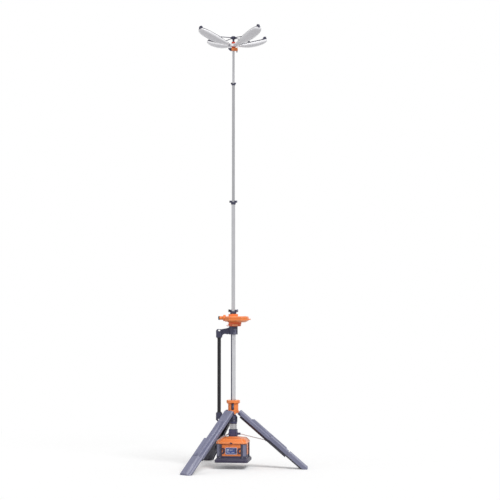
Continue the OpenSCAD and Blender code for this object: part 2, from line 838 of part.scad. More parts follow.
module head_knob() {
    stem_h = 4;
    grip_h = 11;
    color(BLACK) translate([knob_x, 0, head_z - slide_gap - stem_h - grip_h]) union() {
        cylinder(d = head_knob_d, h = grip_h);
        cylinder(d = head_knob_d - 4, h = grip_h + stem_h);
    }
}

module head_post() {
    fork_out = cap_pivot_r + 2;
    color(NAVY) union() {
        translate([0, 0, post_foot]) cylinder(d = post_d, h = cap_z - post_foot + 2);
        translate([0, 0, cap_z]) rotate_extrude()
            polygon([[0, 0], [post_d / 2 + 2, 0], [cap_d / 2, 8], [cap_d / 2, cap_h - 4],
                     [cap_d / 2 - 4, cap_h], [0, cap_h]]);
        for (a = petal_az, s = [-1, 1]) rotate([0, 0, a])
            translate([0, s * 7.5, 0]) plate_xz(2.5)
                polygon([[12, cap_pivot_z - 9], [fork_out, cap_pivot_z - 6],
                         [fork_out, cap_pivot_z + 6], [12, cap_pivot_z + 9]]);
    }
}

// Puts a petal that lies along +X from its hinge, inner side up, in its place
module on_petal(i) {
    rotate([0, 0, petal_az[i - 1]]) translate([petal_r, 0, petal_z])
        rotate([0, -petal_angle, 0]) children();
}

SHELL_RINGS = 22;
SHELL_SIDES = 12;
root_half = 20;
root_deep = 14;
shell_mid = 0.33;        // depth of a ring's widest place, as a share of the ring's depth

// Swells from 0 at the root to 1 at s = peak and rounds off bluntly to the tip at s = 1
function swell(s, peak) = s < peak ? 1 - pow(1 - s / peak, 1.8)
                                   : sqrt(max(0, 1 - pow((s - peak) / (1 - peak), 2.6)));
function shell_s(k) = 1 - pow(1 - k / SHELL_RINGS, 1.6);
function shell_a(s) = shell_start + s * (petal_l - shell_start);
function shell_half(s) = root_half + (petal_w - root_half) * swell(min(s, 0.996), 0.66);
function shell_deep(s) = root_deep + (petal_d - root_deep) * swell(min(s, 0.996), 0.55);
function shell_ring(k) = let (s = shell_s(k), d = shell_deep(s), t0 = asin(shell_mid / (1 - shell_mid)))
    [for (j = [0:SHELL_SIDES]) let (t = -t0 + (180 + 2 * t0) * j / SHELL_SIDES)
        [shell_a(s), shell_half(s) * cos(t), -d * (shell_mid + (1 - shell_mid) * sin(t))]];

// Boat-shaped shell: a flat inner side and a round outer one
module petal_shell(i) {
    n = SHELL_SIDES + 1;
    points = [for (k = [0:SHELL_RINGS], p = shell_ring(k)) p];
    sides = [for (k = [0:SHELL_RINGS - 1], j = [0:n - 1]) let (q = (j + 1) % n)
        [k * n + j, (k + 1) * n + j, (k + 1) * n + q, k * n + q]];
    ends = [[for (j = [0:n - 1]) j], [for (j = [n - 1:-1:0]) SHELL_RINGS * n + j]];
    color(PALE) on_petal(i) polyhedron(points, concat(sides, ends), convexity = 4);
}

// Rim along the inner side of a shell, in from its edge
module petal_rim() {
    ks = [4:SHELL_RINGS - 1];
    function edge(k, w) = [shell_a(shell_s(k)), 0.77 * shell_half(shell_s(k)) - w];
    difference() {
        polygon(concat([for (k = ks) edge(k, 1)],
                       [for (k = [SHELL_RINGS - 1:-1:4]) let (e = edge(k, 1)) [e[0], -e[1]]]));
        polygon(concat([for (k = [5:SHELL_RINGS - 2]) edge(k, 7)],
                       [for (k = [SHELL_RINGS - 2:-1:5]) let (e = edge(k, 7)) [e[0], -e[1]]]));
    }
}

module petal_frame(i) {
    bar_z = slide_gap;
    hook_h = 32;
    tip = petal_l + 8;
    ear = 6.5;
    color(NAVY) on_petal(i) difference() {
        union() {
            cross_pin([0, 0], 2 * eye_r, 2 * root_w);
            plate_xz(2 * root_w) polygon([[0, -eye_r], [8, -20], [shell_start - 1, -14],
                [shell_start - 1, bar_z], [shell_start + 8, bar_z], [shell_start + 8, bar_z + frame_t],
                [0, eye_r]]);
            translate([12, -frame_w / 2, bar_z]) cube([petal_l - 12, frame_w, frame_t]);
            translate([0, 0, bar_z]) linear_extrude(frame_t) petal_rim();
            plate_xz(frame_w) polygon([[tip - 58, bar_z], [petal_l + slide_gap, bar_z],
                [petal_l + slide_gap, -8], [tip, -8], [tip + 4, 4], [tip + 2, hook_h - 10], [tip - 6, hook_h - 2],
                [tip - 16, hook_h], [tip - 26, hook_h - 5], [tip - 34, 16], [tip - 58, bar_z + frame_t]]);
            for (s = [-1, 1]) translate([0, s * (ear + 1.5), 0]) plate_xz(3)
                translate([strut_a, strut_b]) union() {
                    circle(r = strut_eye_r);
                    translate([-strut_eye_r, -strut_b + 2]) square([2 * strut_eye_r, strut_b - 2]);
                }
            cross_pin([strut_a, strut_b], strut_pin_d, 2 * ear + 2);
        }
        cross_pin([0, 0], petal_pin_d + 2 * pin_gap, 2 * root_w + 2);
    }
}

module petal_strut(i) {
    tip = [cap_pivot_r, cap_pivot_z];
    color(NAVY) rotate([0, 0, petal_az[i - 1]]) difference() {
        union() {
            rod(strut_out, tip, strut_d);
            cross_pin(strut_out, 2 * strut_eye_r - 5, 2 * strut_eye_w);
        }
        cross_pin(strut_out, strut_pin_d + 2 * pin_gap, 2 * strut_eye_w + 2);
    }
}

// ---- Assembly ------------------------------------------------------------

pack_base_plate();
pack_body();
pack_lid();
pack_corner_posts();
control_panel();
pack_latches();
mount_block();
column_sleeve();
column_coupling();
lower_bracket();
upper_bracket();
handle_bar();
reel_drum();
reel_housing();
reel_socket();
mast_tube(0, sleeve_z - tube_seat, tube_1_top, bush = false);  // mast_tube_1
mast_clamp(0, tube_1_top) knob_bores();  // mast_clamp_1
color(BLACK) rotate([0, 0, 180]) clamp_knob();  // clamp_knob_left
color(SLATE) clamp_knob();  // clamp_knob_right
mast_tube(1, tube_2_foot, tube_2_top);  // mast_tube_2
mast_clamp(1, tube_2_top);  // mast_clamp_2
mast_tube(2, tube_3_foot, tube_3_top);  // mast_tube_3
mast_clamp(2, tube_3_top);  // mast_clamp_3
mast_tube(3, tube_4_foot, head_z + hub_head_h);  // mast_tube_4
leg_hub();
hub_latch();
hub_pins();
for (i = LEGS) {
    leg_channel(i);
    leg_extension(i);
    leg_foot(i);
    leg_stay(i);
}
head_hub();
petal_forks();
head_gusset();
head_knob();
head_post();
for (i = PETALS) {
    petal_shell(i);
    petal_frame(i);
    petal_strut(i);
}
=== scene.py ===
# %% [markdown]
# # A mobile light tower
# A tall thing is easiest to build as a stack. The frame already holds every part at its real size: the power
# pack, the folding tripod, the mast and the lamp head. This file gives those parts their finish, rounds their
# edges and adds the small pieces that a frame leaves out. Each step says what the real piece is, how it could
# be made, and why this way was chosen.

# %% Load the frame
import json
import math

import bmesh
import bpy
from mathutils import Matrix, Vector
from mathutils.bvhtree import BVHTree


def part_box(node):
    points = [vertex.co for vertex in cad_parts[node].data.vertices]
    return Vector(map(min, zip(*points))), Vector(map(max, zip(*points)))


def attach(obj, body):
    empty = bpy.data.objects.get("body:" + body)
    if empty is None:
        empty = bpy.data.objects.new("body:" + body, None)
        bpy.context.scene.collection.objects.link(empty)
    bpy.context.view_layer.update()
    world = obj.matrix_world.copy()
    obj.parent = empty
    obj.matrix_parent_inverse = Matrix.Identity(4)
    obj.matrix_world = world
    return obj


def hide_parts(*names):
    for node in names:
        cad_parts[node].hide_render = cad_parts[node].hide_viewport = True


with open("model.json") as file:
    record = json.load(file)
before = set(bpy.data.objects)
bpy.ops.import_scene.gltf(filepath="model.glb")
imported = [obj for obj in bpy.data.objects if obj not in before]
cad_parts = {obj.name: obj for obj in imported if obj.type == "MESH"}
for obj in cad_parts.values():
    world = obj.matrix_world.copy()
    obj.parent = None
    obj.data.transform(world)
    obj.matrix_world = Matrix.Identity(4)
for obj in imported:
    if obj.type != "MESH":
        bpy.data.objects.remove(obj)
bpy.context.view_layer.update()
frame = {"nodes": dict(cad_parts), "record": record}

NODES = frame["nodes"]
RECORD = frame["record"]
SLOT_OF = {row["node"]: row["material_slot"] for row in RECORD["subparts"]}
BODY_OF = {node: body for body, members in RECORD["behaviour"]["bodies"].items() for node in members}
LEGS = (1, 2, 3)
PETALS = (1, 2, 3, 4)
MM = 0.001

# %% [markdown]
# ## The camera
# A person stands some way off with a long lens, so the mast stays nearly parallel to the picture's sides. A lens
# shift could raise the view, but a small upward tilt does the same here and needs nothing special in other views.

# %% Place the camera
EYE_HEIGHT = 1.63
CAMERA_DISTANCE = 13.2
CAMERA_BEARING = math.radians(8)
CAMERA_TILT = math.radians(2.776)
CAMERA_PAN = math.radians(0.76)
LENS_MM = 90.6


def place_camera():
    data = bpy.data.cameras.new("camera")
    data.lens = LENS_MM
    data.sensor_width = 36
    camera = bpy.data.objects.new("camera", data)
    bpy.context.scene.collection.objects.link(camera)
    camera.location = (CAMERA_DISTANCE * math.sin(CAMERA_BEARING),
                       -CAMERA_DISTANCE * math.cos(CAMERA_BEARING), EYE_HEIGHT)
    camera.rotation_euler = (math.pi / 2 + CAMERA_TILT, 0, CAMERA_BEARING - CAMERA_PAN)
    bpy.context.scene.camera = camera
    return camera


camera = place_camera()
print("camera at", [round(v, 2) for v in camera.location])

# %% [markdown]
# ## Small helpers for node trees
# Materials and Geometry Nodes are both graphs of nodes. A few short helpers keep the rest readable: one adds a
# node and fills its inputs, the others return the result of a single sum.


# %% Node helpers
def fill(tree, node, inputs):
    """Gives a node's inputs their values, which are numbers or sockets."""
    for key, value in inputs.items():
        if isinstance(value, bpy.types.NodeSocket):
            tree.links.new(value, node.inputs[key])
        else:
            node.inputs[key].default_value = value
    return node


def add_node(tree, kind, inputs, **settings):
    """A new node, with the values of its inputs and its settings."""
    node = tree.nodes.new(kind)
    for key, value in settings.items():
        setattr(node, key, value)
    return fill(tree, node, inputs)


def maths(tree, operation, a, b=0.0):
    """The result of one Math node. a and b are numbers or sockets."""
    return add_node(tree, "ShaderNodeMath", {0: a, 1: b}, operation=operation).outputs[0]


def shade(colour, factor):
    """A lighter or darker red, green and blue, with an alpha."""
    return tuple(min(1.0, c * factor) for c in colour[:3]) + (1.0,)


print("helpers ready")

# %% [markdown]
# ## Finishes
# Moulded plastic, powder-coated metal and drawn tube all look flat in a model because the real ones never are.
# Their colour drifts a little, their gloss varies with handling and their surface has a grain. A painted image
# could show that, but a procedural material keeps its scale on every piece. One recipe serves them all: two
# noises for colour and gloss, a fine noise for the grain, a lighter tone where an edge has rubbed, and dust that
# gathers low down.

# %% One recipe for every solid finish
SLOW_NOISE = 5.0         # patches about 20 cm across
HAND_NOISE = 38.0        # marks about 3 cm across
DUST_TOP = 0.35          # height in metres above which no dust lies
DUST = (0.36, 0.33, 0.31)


def noise(tree, where, scale, detail):
    return add_node(tree, "ShaderNodeTexNoise", {"Vector": where, "Scale": scale, "Detail": detail}).outputs["Fac"]


def marked(tree, name):
    """The value of a mesh's attribute."""
    return add_node(tree, "ShaderNodeAttribute", {}, attribute_name=name).outputs["Fac"]


def colour_drift(tree, where, colour, drift):
    """Slow, faint change of tone across a surface."""
    ramp = add_node(tree, "ShaderNodeValToRGB", {"Fac": noise(tree, where, SLOW_NOISE, 5.0)})
    for end, position, factor in zip(ramp.color_ramp.elements, (0.3, 0.7), (1 - drift, 1 + drift)):
        end.position, end.color = position, shade(colour, factor)
    return ramp.outputs["Color"]


def blended(tree, amount, below, above):
    """Colour below, with above laid over it by an amount."""
    mix = add_node(tree, "ShaderNodeMix", {"Factor": amount, "A": below, "B": shade(above, 1.0)}, data_type="RGBA")
    return mix.outputs["Result"]


def rubbed_edges(tree, where, colour, worn):
    """Lighter tone where the edge_wear attribute and a patchy noise are both high."""
    amount = maths(tree, "MULTIPLY", marked(tree, "edge_wear"), noise(tree, where, HAND_NOISE, 6.0))
    return blended(tree, amount, colour, worn)


def low_dust(tree, where, colour, most):
    """Faint dust that thins out with height."""
    height = add_node(tree, "ShaderNodeSeparateXYZ", {"Vector": where}).outputs["Z"]
    low = add_node(tree, "ShaderNodeMapRange", {"Value": height, "From Min": 0.0, "From Max": DUST_TOP,
                                                "To Min": most, "To Max": 0.0})
    amount = maths(tree, "MULTIPLY", low.outputs[0], noise(tree, where, HAND_NOISE / 2, 8.0))
    return blended(tree, amount, colour, DUST)


def solid_finish(name, colour, roughness, metallic=0.0, drift=0.06, worn=None, grain=700.0, grain_depth=0.00012,
                 stretch=(1.0, 1.0, 1.0), coat=0.0, gloss_spread=0.1, dust=0.1, shine=0.5, second=None):
    """A moulded, painted or drawn surface, with a second colour where a mesh's second-colour attribute is 1: painted
    shade on a leg's inner faces, and the real white of a petal frame's root. grain is in bumps a metre, grain_depth
    in metres."""
    material = bpy.data.materials.new(name)
    material.use_nodes = True
    tree = material.node_tree
    where = add_node(tree, "ShaderNodeTexCoord", {}).outputs["Object"]
    tone = colour_drift(tree, where, colour, drift)
    if second:
        tone = blended(tree, marked(tree, "second_tone_and_painted_shade"), tone, second)
    tone = rubbed_edges(tree, where, tone, worn or shade(colour, 1.35))
    tone = low_dust(tree, where, tone, dust)
    gloss = add_node(tree, "ShaderNodeMapRange", {
        "Value": noise(tree, where, HAND_NOISE, 4.0), "To Min": roughness - gloss_spread / 2,
        "To Max": roughness + gloss_spread / 2})
    stretched = add_node(tree, "ShaderNodeMapping", {"Vector": where, "Scale": stretch}).outputs[0]
    bump = add_node(tree, "ShaderNodeBump", {"Height": noise(tree, stretched, grain, 2.0), "Strength": 0.6,
                                             "Distance": grain_depth})
    fill(tree, tree.nodes["Principled BSDF"], {
        "Base Color": tone, "Roughness": gloss.outputs[0], "Normal": bump.outputs[0], "Metallic": metallic,
        "Coat Weight": coat, "Specular IOR Level": shine})
    return material


# %% The tower's finishes
ORANGE = (0.98, 0.255, 0.055)
SLATE = (0.195, 0.2, 0.3)
# Painted shade: the near-black that a leg's inner faces take stands in for the shade inside and under its channel.
LEG_INSIDE_SHADE = (0.035, 0.034, 0.06)
NAVY = (0.043, 0.043, 0.085)
BLACK = (0.014, 0.013, 0.016)
SILVER = (0.50, 0.50, 0.52)
STAY_PINK = (0.56, 0.47, 0.47)
WHITE = (0.9, 0.895, 0.92)
DISPLAY_BLUE = (0.017, 0.05, 0.27)

MOULDED = {"roughness": 0.5, "drift": 0.1, "worn": (0.13, 0.13, 0.18), "grain": 900}
DRAWN = {"roughness": 0.38, "metallic": 0.6, "drift": 0.05, "grain": 420, "worn": (0.8, 0.8, 0.8),
         "stretch": (1, 1, 0.012), "grain_depth": 0.00005}
LOOKS = {
    "orange_plastic": dict(colour=ORANGE, roughness=0.42, drift=0.05, worn=(0.95, 0.45, 0.24), coat=0.1),
    "light_orange": dict(colour=(1.0, 0.42, 0.2), roughness=0.4, drift=0.04),
    # The drum's deep red-orange is partly its own redder tone and partly painted shade: it is darkened to the tone of
    # the drum's shaded side.
    "deep_orange": dict(colour=(0.86, 0.14, 0.03), roughness=0.42, worn=(0.95, 0.4, 0.2)),
    "red_plastic": dict(colour=(0.72, 0.07, 0.03), roughness=0.4, drift=0.05),
    # The slate's second colour is painted shade on the legs' inner faces.
    "slate_enamel": dict(colour=SLATE, roughness=0.42, drift=0.07, worn=(0.5, 0.5, 0.58), grain=420,
                         second=LEG_INSIDE_SHADE),
    "navy_plastic": dict(colour=NAVY, second=WHITE, **MOULDED),
    "black_plastic": dict(colour=BLACK, roughness=0.45, drift=0.12, worn=(0.08, 0.08, 0.09), grain=1100,
                          shine=0.3),
    "black_enamel": dict(colour=BLACK, roughness=0.36, drift=0.12, worn=(0.1, 0.1, 0.11), grain=380, shine=0.25),
    "satin_aluminium": dict(colour=SILVER, **DRAWN),
    "stay_steel": dict(colour=STAY_PINK, roughness=0.35, metallic=0.7, drift=0.08, grain=500),
    "lamp_shell": dict(colour=WHITE, roughness=0.35, drift=0.03, worn=(0.9, 0.9, 0.9), coat=0.15, grain=1200,
                       grain_depth=0.00004),
    "pale_aluminium": dict(colour=shade(SILVER, 1.17), **DRAWN),
    "grey_aluminium": dict(colour=shade(SILVER, 0.79), **DRAWN),
    "base_plastic": dict(colour=(0.024, 0.019, 0.056), **MOULDED),
    "blue_plastic": dict(colour=(0.058, 0.058, 0.14), **dict(MOULDED, worn=(0.15, 0.15, 0.22))),
    "rubber": dict(colour=(0.02, 0.02, 0.024), roughness=0.75, drift=0.15, worn=(0.1, 0.1, 0.1), grain=1500),
    "panel_frame": dict(colour=(0.5, 0.53, 0.68), roughness=0.4, drift=0.05, grain=900),
    "screw_steel": dict(colour=(0.36, 0.36, 0.38), roughness=0.32, metallic=0.9, drift=0.1, grain=800),
    "display_glass": dict(colour=DISPLAY_BLUE, roughness=0.12, drift=0.12, grain=60, grain_depth=0.00001, coat=0.6,
                          gloss_spread=0.04),
    "display_mark": dict(colour=(0.55, 0.6, 0.72), roughness=0.3, drift=0.03),
}
FINISH = {name: solid_finish(name, **look) for name, look in LOOKS.items()}
print("finishes:", ", ".join(FINISH))

# %% Give every frame node its finish
FINISH_OF = {f"leg_{i}_extension": "navy_plastic" for i in LEGS}
FINISH_OF.update({"hub_pins": "base_plastic", "reel_drum": "deep_orange", "mast_tube_1": "pale_aluminium",
                  "mast_tube_3": "grey_aluminium", "pack_base_plate": "base_plastic", "mount_block": "blue_plastic",
                  "column_coupling": "blue_plastic"})


def node_finish(node):
    return FINISH[FINISH_OF.get(node, SLOT_OF[node])]


for node_name, node_object in NODES.items():
    node_object.data.materials.clear()
    node_object.data.materials.append(node_finish(node_name))
print("dressed", len(NODES), "nodes")

# %% [markdown]
# ## From shapes to pieces
# Every added piece ends the same way: one plain mesh at the origin, smooth where it is round and crisp where it
# isn't, riding on a body. Doing that in one helper keeps the later cells to the shape itself.

# %% Finish a piece
WELD = 0.01 * MM
CRISP = math.radians(32)
ROUND_STEPS = 2


def linked(name, mesh):
    thing = bpy.data.objects.new(name, mesh)
    bpy.context.scene.collection.objects.link(thing)
    return thing


def apply_modifiers(thing):
    """Makes an object's modifiers part of its mesh."""
    bpy.context.view_layer.update()
    graph = bpy.context.evaluated_depsgraph_get()
    mesh = bpy.data.meshes.new_from_object(thing.evaluated_get(graph), preserve_all_data_layers=True,
                                           depsgraph=graph)
    thing.modifiers.clear()
    thing.data = mesh
    return mesh


def shade_crisply(thing, finish):
    """Smooth faces with hard creases, flat faces kept flat, and one material."""
    mesh = thing.data
    mesh.materials.clear()
    mesh.materials.append(finish)
    mesh.polygons.foreach_set("material_index", [0] * len(mesh.polygons))
    mesh.polygons.foreach_set("use_smooth", [True] * len(mesh.polygons))
    mesh.set_sharp_from_angle(angle=CRISP)
    weights = thing.modifiers.new("flat faces stay flat", "WEIGHTED_NORMAL")
    weights.keep_sharp = True
    apply_modifiers(thing)


def mount_piece(thing, body, replaced):
    """Rides the piece on its body and hides what it stands for."""
    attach(thing, body)
    if replaced:
        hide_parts(*replaced)
    return thing


def make_piece(name, shape, body, slot, finish=None, round_by=0.0, replaced=()):
    """A piece from a bmesh: normals outwards, edges rounded by round_by millimetres, finished and riding."""
    bmesh.ops.remove_doubles(shape, verts=shape.verts, dist=WELD)
    bmesh.ops.recalc_face_normals(shape, faces=shape.faces)
    mesh = bpy.data.meshes.new(name)
    shape.to_mesh(mesh)
    shape.free()
    thing = linked(name, mesh)
    if round_by:
        edges = thing.modifiers.new("round edges", "BEVEL")
        edges.width, edges.segments = round_by * MM, ROUND_STEPS
        edges.limit_method, edges.angle_limit = "ANGLE", CRISP
        apply_modifiers(thing)
    shade_crisply(thing, FINISH[finish or slot])
    return mount_piece(thing, body, replaced)


print("pieces are finished by one helper")

# %% [markdown]
# ## Where the hinged parts lie
# A leg and a petal are each made once, in their own axes, with the hinge pin at the origin. A matrix then turns the
# part to its side of the mast, moves it to its pin and leans it. The pins come from the frame's joints.

# %% Places of the legs and petals
def hinged_frame(joint):
    """Matrix of a hinged part's own axes, before its lean: turned to the joint's side and moved to its pin."""
    pin = next(Vector(j["pos_m"]) for j in RECORD["behaviour"]["joints"] if j["name"] == joint)
    return Matrix.Translation(pin) @ Matrix.Rotation(math.atan2(pin.y, pin.x), 4, "Z")


LEG_LEAN = math.radians(49.5)
PETAL_LEAN = math.radians(17)
LEG_PLACE = {i: hinged_frame(f"leg_{i}_hinge") @ Matrix.Rotation(-LEG_LEAN, 4, "Y") for i in LEGS}
PETAL_PLACE = {i: hinged_frame(f"petal_{i}_hinge") @ Matrix.Rotation(-PETAL_LEAN, 4, "Y") for i in PETALS}
for i in LEGS:
    print(f"leg {i} hangs from", [round(v, 3) for v in LEG_PLACE[i].translation])

# %% [markdown]
# ## Rounded edges
# Nothing moulded, cast or folded ends in a knife edge: a small radius catches a line of light and wears first.
# A Bevel modifier rounds a mesh, but where two curved walls meet, the edges are short and a full radius makes the
# faces cross. So each edge gets a radius that suits the room at its ends, any place where faces still cross goes
# back to a sharp edge, and the narrow new faces are marked for the rubbed tone.

# %% Room for a radius
ROOM_SHARE = 0.45        # share of the shortest neighbouring edge that a radius may use
LEAST_SHARE = 0.5        # an edge with room for less than this share of the radius stays sharp
BEVEL_SLOT = 1           # material index that tells a bevel's new faces
BEVEL_TRIES = 5
FLAT_WITHIN = math.radians(1)


def sharp_edges(shape):
    return [e for e in shape.edges if len(e.link_faces) == 2 and e.calc_face_angle(0) > CRISP]


def edge_room(edge):
    """Length of the shortest edge that meets this one."""
    return min((other.calc_length() for v in edge.verts for other in v.link_edges if other is not edge),
               default=0.0)


# %% Where faces cross, and a bevel that leaves room
def crossing_points(mesh):
    """Middles of the faces that pass through a face they share no corner with."""
    shape = bmesh.new()
    shape.from_mesh(mesh)
    bmesh.ops.triangulate(shape, faces=shape.faces)
    shape.faces.ensure_lookup_table()
    tree = BVHTree.FromBMesh(shape)
    corners = [{v.index for v in f.verts} for f in shape.faces]
    found = [shape.faces[a].calc_center_median() for a, b in tree.overlap(tree)
             if a != b and not corners[a] & corners[b]]
    shape.free()
    return found


def bevelled(source, width, keep_sharp):
    """A mesh with each edge rounded as far as its room allows, and the edges near keep_sharp left alone."""
    shape = bmesh.new()
    shape.from_mesh(source)
    weight = shape.edges.layers.float.new("bevel_weight_edge")
    crowded = {}
    for edge in sharp_edges(shape):
        for v in edge.verts:
            crowded[v] = crowded.get(v, 0) + 1
    for edge in sharp_edges(shape):
        share = ROOM_SHARE * edge_room(edge) / width
        if max(crowded[v] for v in edge.verts) > 2:
            share = min(share, ROOM_SHARE * edge.calc_length() / width)
        middle = (edge.verts[0].co + edge.verts[1].co) / 2
        near = 2 * width + edge.calc_length() / 2
        blocked = any((p - middle).length < near for p in keep_sharp)
        edge[weight] = 0.0 if blocked or share < LEAST_SHARE else min(1.0, share)
    mesh = bpy.data.meshes.new("rounded")
    shape.to_mesh(mesh)
    shape.free()
    for _ in range(BEVEL_SLOT + 1):
        mesh.materials.append(None)
    thing = linked("rounded", mesh)
    edges = thing.modifiers.new("edges", "BEVEL")
    edges.width, edges.segments, edges.limit_method = width, ROUND_STEPS, "WEIGHT"
    edges.use_clamp_overlap = False
    edges.material = BEVEL_SLOT
    apply_modifiers(thing)
    mesh = thing.data
    bpy.data.objects.remove(thing)
    return mesh


# %% Round one frame node
def mark_faces(mesh, name, chosen):
    """Writes a corner attribute that is 1 on the chosen faces and 0 elsewhere."""
    mark = mesh.attributes.new(name, "FLOAT", "CORNER")
    values = [0.0] * len(mesh.loops)
    for face in mesh.polygons:
        if chosen(face):
            for loop in face.loop_indices:
                values[loop] = 1.0
    mark.data.foreach_set("value", values)


def round_node(node, width, chosen):
    """Puts a rounded copy of a frame node in its place. chosen says which faces take the second colour: painted shade
    on a leg's inner side, or white on a petal frame's root.
    """
    shape = bmesh.new()
    shape.from_mesh(NODES[node].data)
    bmesh.ops.remove_doubles(shape, verts=shape.verts, dist=WELD)
    bmesh.ops.dissolve_limit(shape, angle_limit=FLAT_WITHIN, verts=shape.verts, edges=shape.edges)
    source = bpy.data.meshes.new("welded")
    shape.to_mesh(source)
    shape.free()
    crossings = []
    for _ in range(BEVEL_TRIES):
        mesh = bevelled(source, width, crossings)
        new = crossing_points(mesh)
        if not new:
            break
        crossings += new
    mark_faces(mesh, "edge_wear", lambda face: face.material_index == BEVEL_SLOT)
    if chosen:
        mark_faces(mesh, "second_tone_and_painted_shade", chosen)
    thing = linked(f"{node}_round", mesh)
    shade_crisply(thing, node_finish(node))
    mount_piece(thing, BODY_OF[node], [node])
    return len(new)


# %% Round them all
EDGE_RADIUS = {  # millimetres
    "pack_base_plate": 3, "pack_body": 4, "pack_lid": 3, "pack_corner_posts": 1.2, "control_panel": 1.2,
    "mount_block": 1.5, "column_sleeve": 0.8, "column_coupling": 1.2, "lower_bracket": 2, "upper_bracket": 2,
    "handle_bar": 1.5, "reel_drum": 1.5, "reel_housing": 2.5, "reel_socket": 1.5, "mast_clamp_1": 1.2,
    "mast_clamp_2": 1.2, "mast_clamp_3": 1, "clamp_knob_left": 0.8, "clamp_knob_right": 0.8, "leg_hub": 2,
    "hub_latch": 1, "hub_pins": 0.6, "head_hub": 1, "head_post": 1, "petal_forks": 0.8, "head_gusset": 1}
EDGE_RADIUS.update({f"leg_{i}_{part}": radius for i in LEGS
                    for part, radius in (("channel", 1.5), ("extension", 1.2), ("foot", 1), ("stay", 0.6))})
EDGE_RADIUS.update({f"petal_{i}_{part}": radius for i in PETALS for part, radius in (("frame", 1), ("strut", 0.6))})
# Faces that turn inwards past this are painted near-black as shade.
INNER_SIDE = -0.35       # a leg's face is an inner one if its normal's outward part is below this
WHITE_ROOT = 14.5 * MM   # a petal's frame is white as far as this from its pin


def tone_rule(node):
    """Says which faces of a node take the second colour: a leg's inner side, which takes painted shade, or a petal
    frame's root, which is white.
    """
    kind, number, part = (node.split("_") + ["", ""])[:3]
    if kind == "leg" and part in ("channel", "foot"):
        axes = LEG_PLACE[int(number)].inverted().to_3x3()
        return lambda face: (axes @ face.normal).x < INNER_SIDE
    if kind == "petal" and part == "frame":
        axes = PETAL_PLACE[int(number)].inverted()
        return lambda face: (axes @ face.center).x < WHITE_ROOT
    return None


still_crossing = {}
for node_name, radius in EDGE_RADIUS.items():
    left = round_node(node_name, radius * MM, tone_rule(node_name))
    if left:
        still_crossing[node_name] = left
print("rounded", len(EDGE_RADIUS), "nodes; faces still crossing:", still_crossing or "none")

# %% [markdown]
# ## Shapes for the small pieces
# A small moulded piece is nearly always an outline pushed into a solid, or a profile spun round an axis. Both could
# be drawn by hand, but from a list of sizes in millimetres they stay exact. Each shape is made where it belongs,
# through a matrix that says how the part it sits on is turned.

# %% Prisms, turned shapes and places
OUTWARDS = Matrix.Rotation(math.pi / 2, 4, "Y")     # turns +Z to +X
DOWN_X = Matrix.Rotation(-math.pi / 2, 4, "Y")      # turns +Z to -X
TO_FRONT = Matrix.Rotation(math.pi / 2, 4, "X")     # turns +Z to -Y, with +Y up


def at(x=0.0, y=0.0, z=0.0):
    return Matrix.Translation((x * MM, y * MM, z * MM))


def around(degrees):
    return Matrix.Rotation(math.radians(degrees), 4, "Z")


def size_box(node):
    """A frame node's lowest and highest corners at rest, in millimetres."""
    low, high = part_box(node)
    return Vector(low) / MM, Vector(high) / MM


def rect(left, low, wide, high):
    return [(left, low), (left + wide, low), (left + wide, low + high), (left, low + high)]


def cut_rect(x, y, cut):
    """Outline of a rectangle with its corners cut off."""
    a, b = x / 2, y / 2
    return [(a, cut - b), (a, b - cut), (a - cut, b), (cut - a, b), (-a, b - cut), (-a, cut - b), (cut - a, -b),
            (a - cut, -b)]


def arc(radius, start, end, steps=12):
    angles = [math.radians(start + (end - start) * k / steps) for k in range(steps + 1)]
    return [(radius * math.cos(a), radius * math.sin(a)) for a in angles]


def bent(inner, outer, start, end, steps=12):
    """Outline of a part of a ring."""
    return arc(outer, start, end, steps) + arc(inner, end, start, steps)


def prism(shape, outline, low, high, place=Matrix()):
    """An outline filled from low to high along z."""
    rings = [[shape.verts.new(place @ (Vector((x, y, z)) * MM)) for x, y in outline] for z in (low, high)]
    shape.faces.new(rings[0][::-1])
    shape.faces.new(rings[1])
    for k, _ in enumerate(outline):
        j = (k + 1) % len(outline)
        shape.faces.new((rings[0][k], rings[0][j], rings[1][j], rings[1][k]))


def turned(shape, profile, place=Matrix(), segments=48):
    """A profile of (radius, height) points spun about z, closed unless it starts and ends on the axis."""
    rings = []
    for k in range(segments):
        turn = place @ Matrix.Rotation(2 * math.pi * k / segments, 4, "Z")
        rings.append([shape.verts.new(turn @ (Vector((r, 0, z)) * MM)) for r, z in profile])
    last = len(profile) - (1 if profile[0][0] == profile[-1][0] == 0 else 0)
    for k in range(segments):
        here, there = rings[k], rings[(k + 1) % segments]
        for j in range(last):
            i = (j + 1) % len(profile)
            shape.faces.new((here[j], there[j], there[i], here[i]))


def hoop(shape, inner, outer, low, high, place=Matrix(), segments=64):
    """A plain ring with slightly broken outer edges."""
    e = min(0.6, (high - low) / 4, (outer - inner) / 3)
    turned(shape, [(inner, low), (outer - e, low), (outer, low + e), (outer, high - e), (outer - e, high),
                   (inner, high)], place, segments)


def piece_of(name, parts, body, slot, **rest):
    """One piece made of several shapes, each given as its function and its sizes."""
    shape = bmesh.new()
    for make, *sizes in parts:
        make(shape, *sizes)
    return make_piece(name, shape, body, slot, **rest)


# %% [markdown]
# ## Trees that repeat a shape
# Screws, ribs and beads repeat, so each is described once as a tree of geometry nodes and then given places or a
# path. A tree's inputs are its sizes, and it ends by making its copies real, because copies alone don't export.


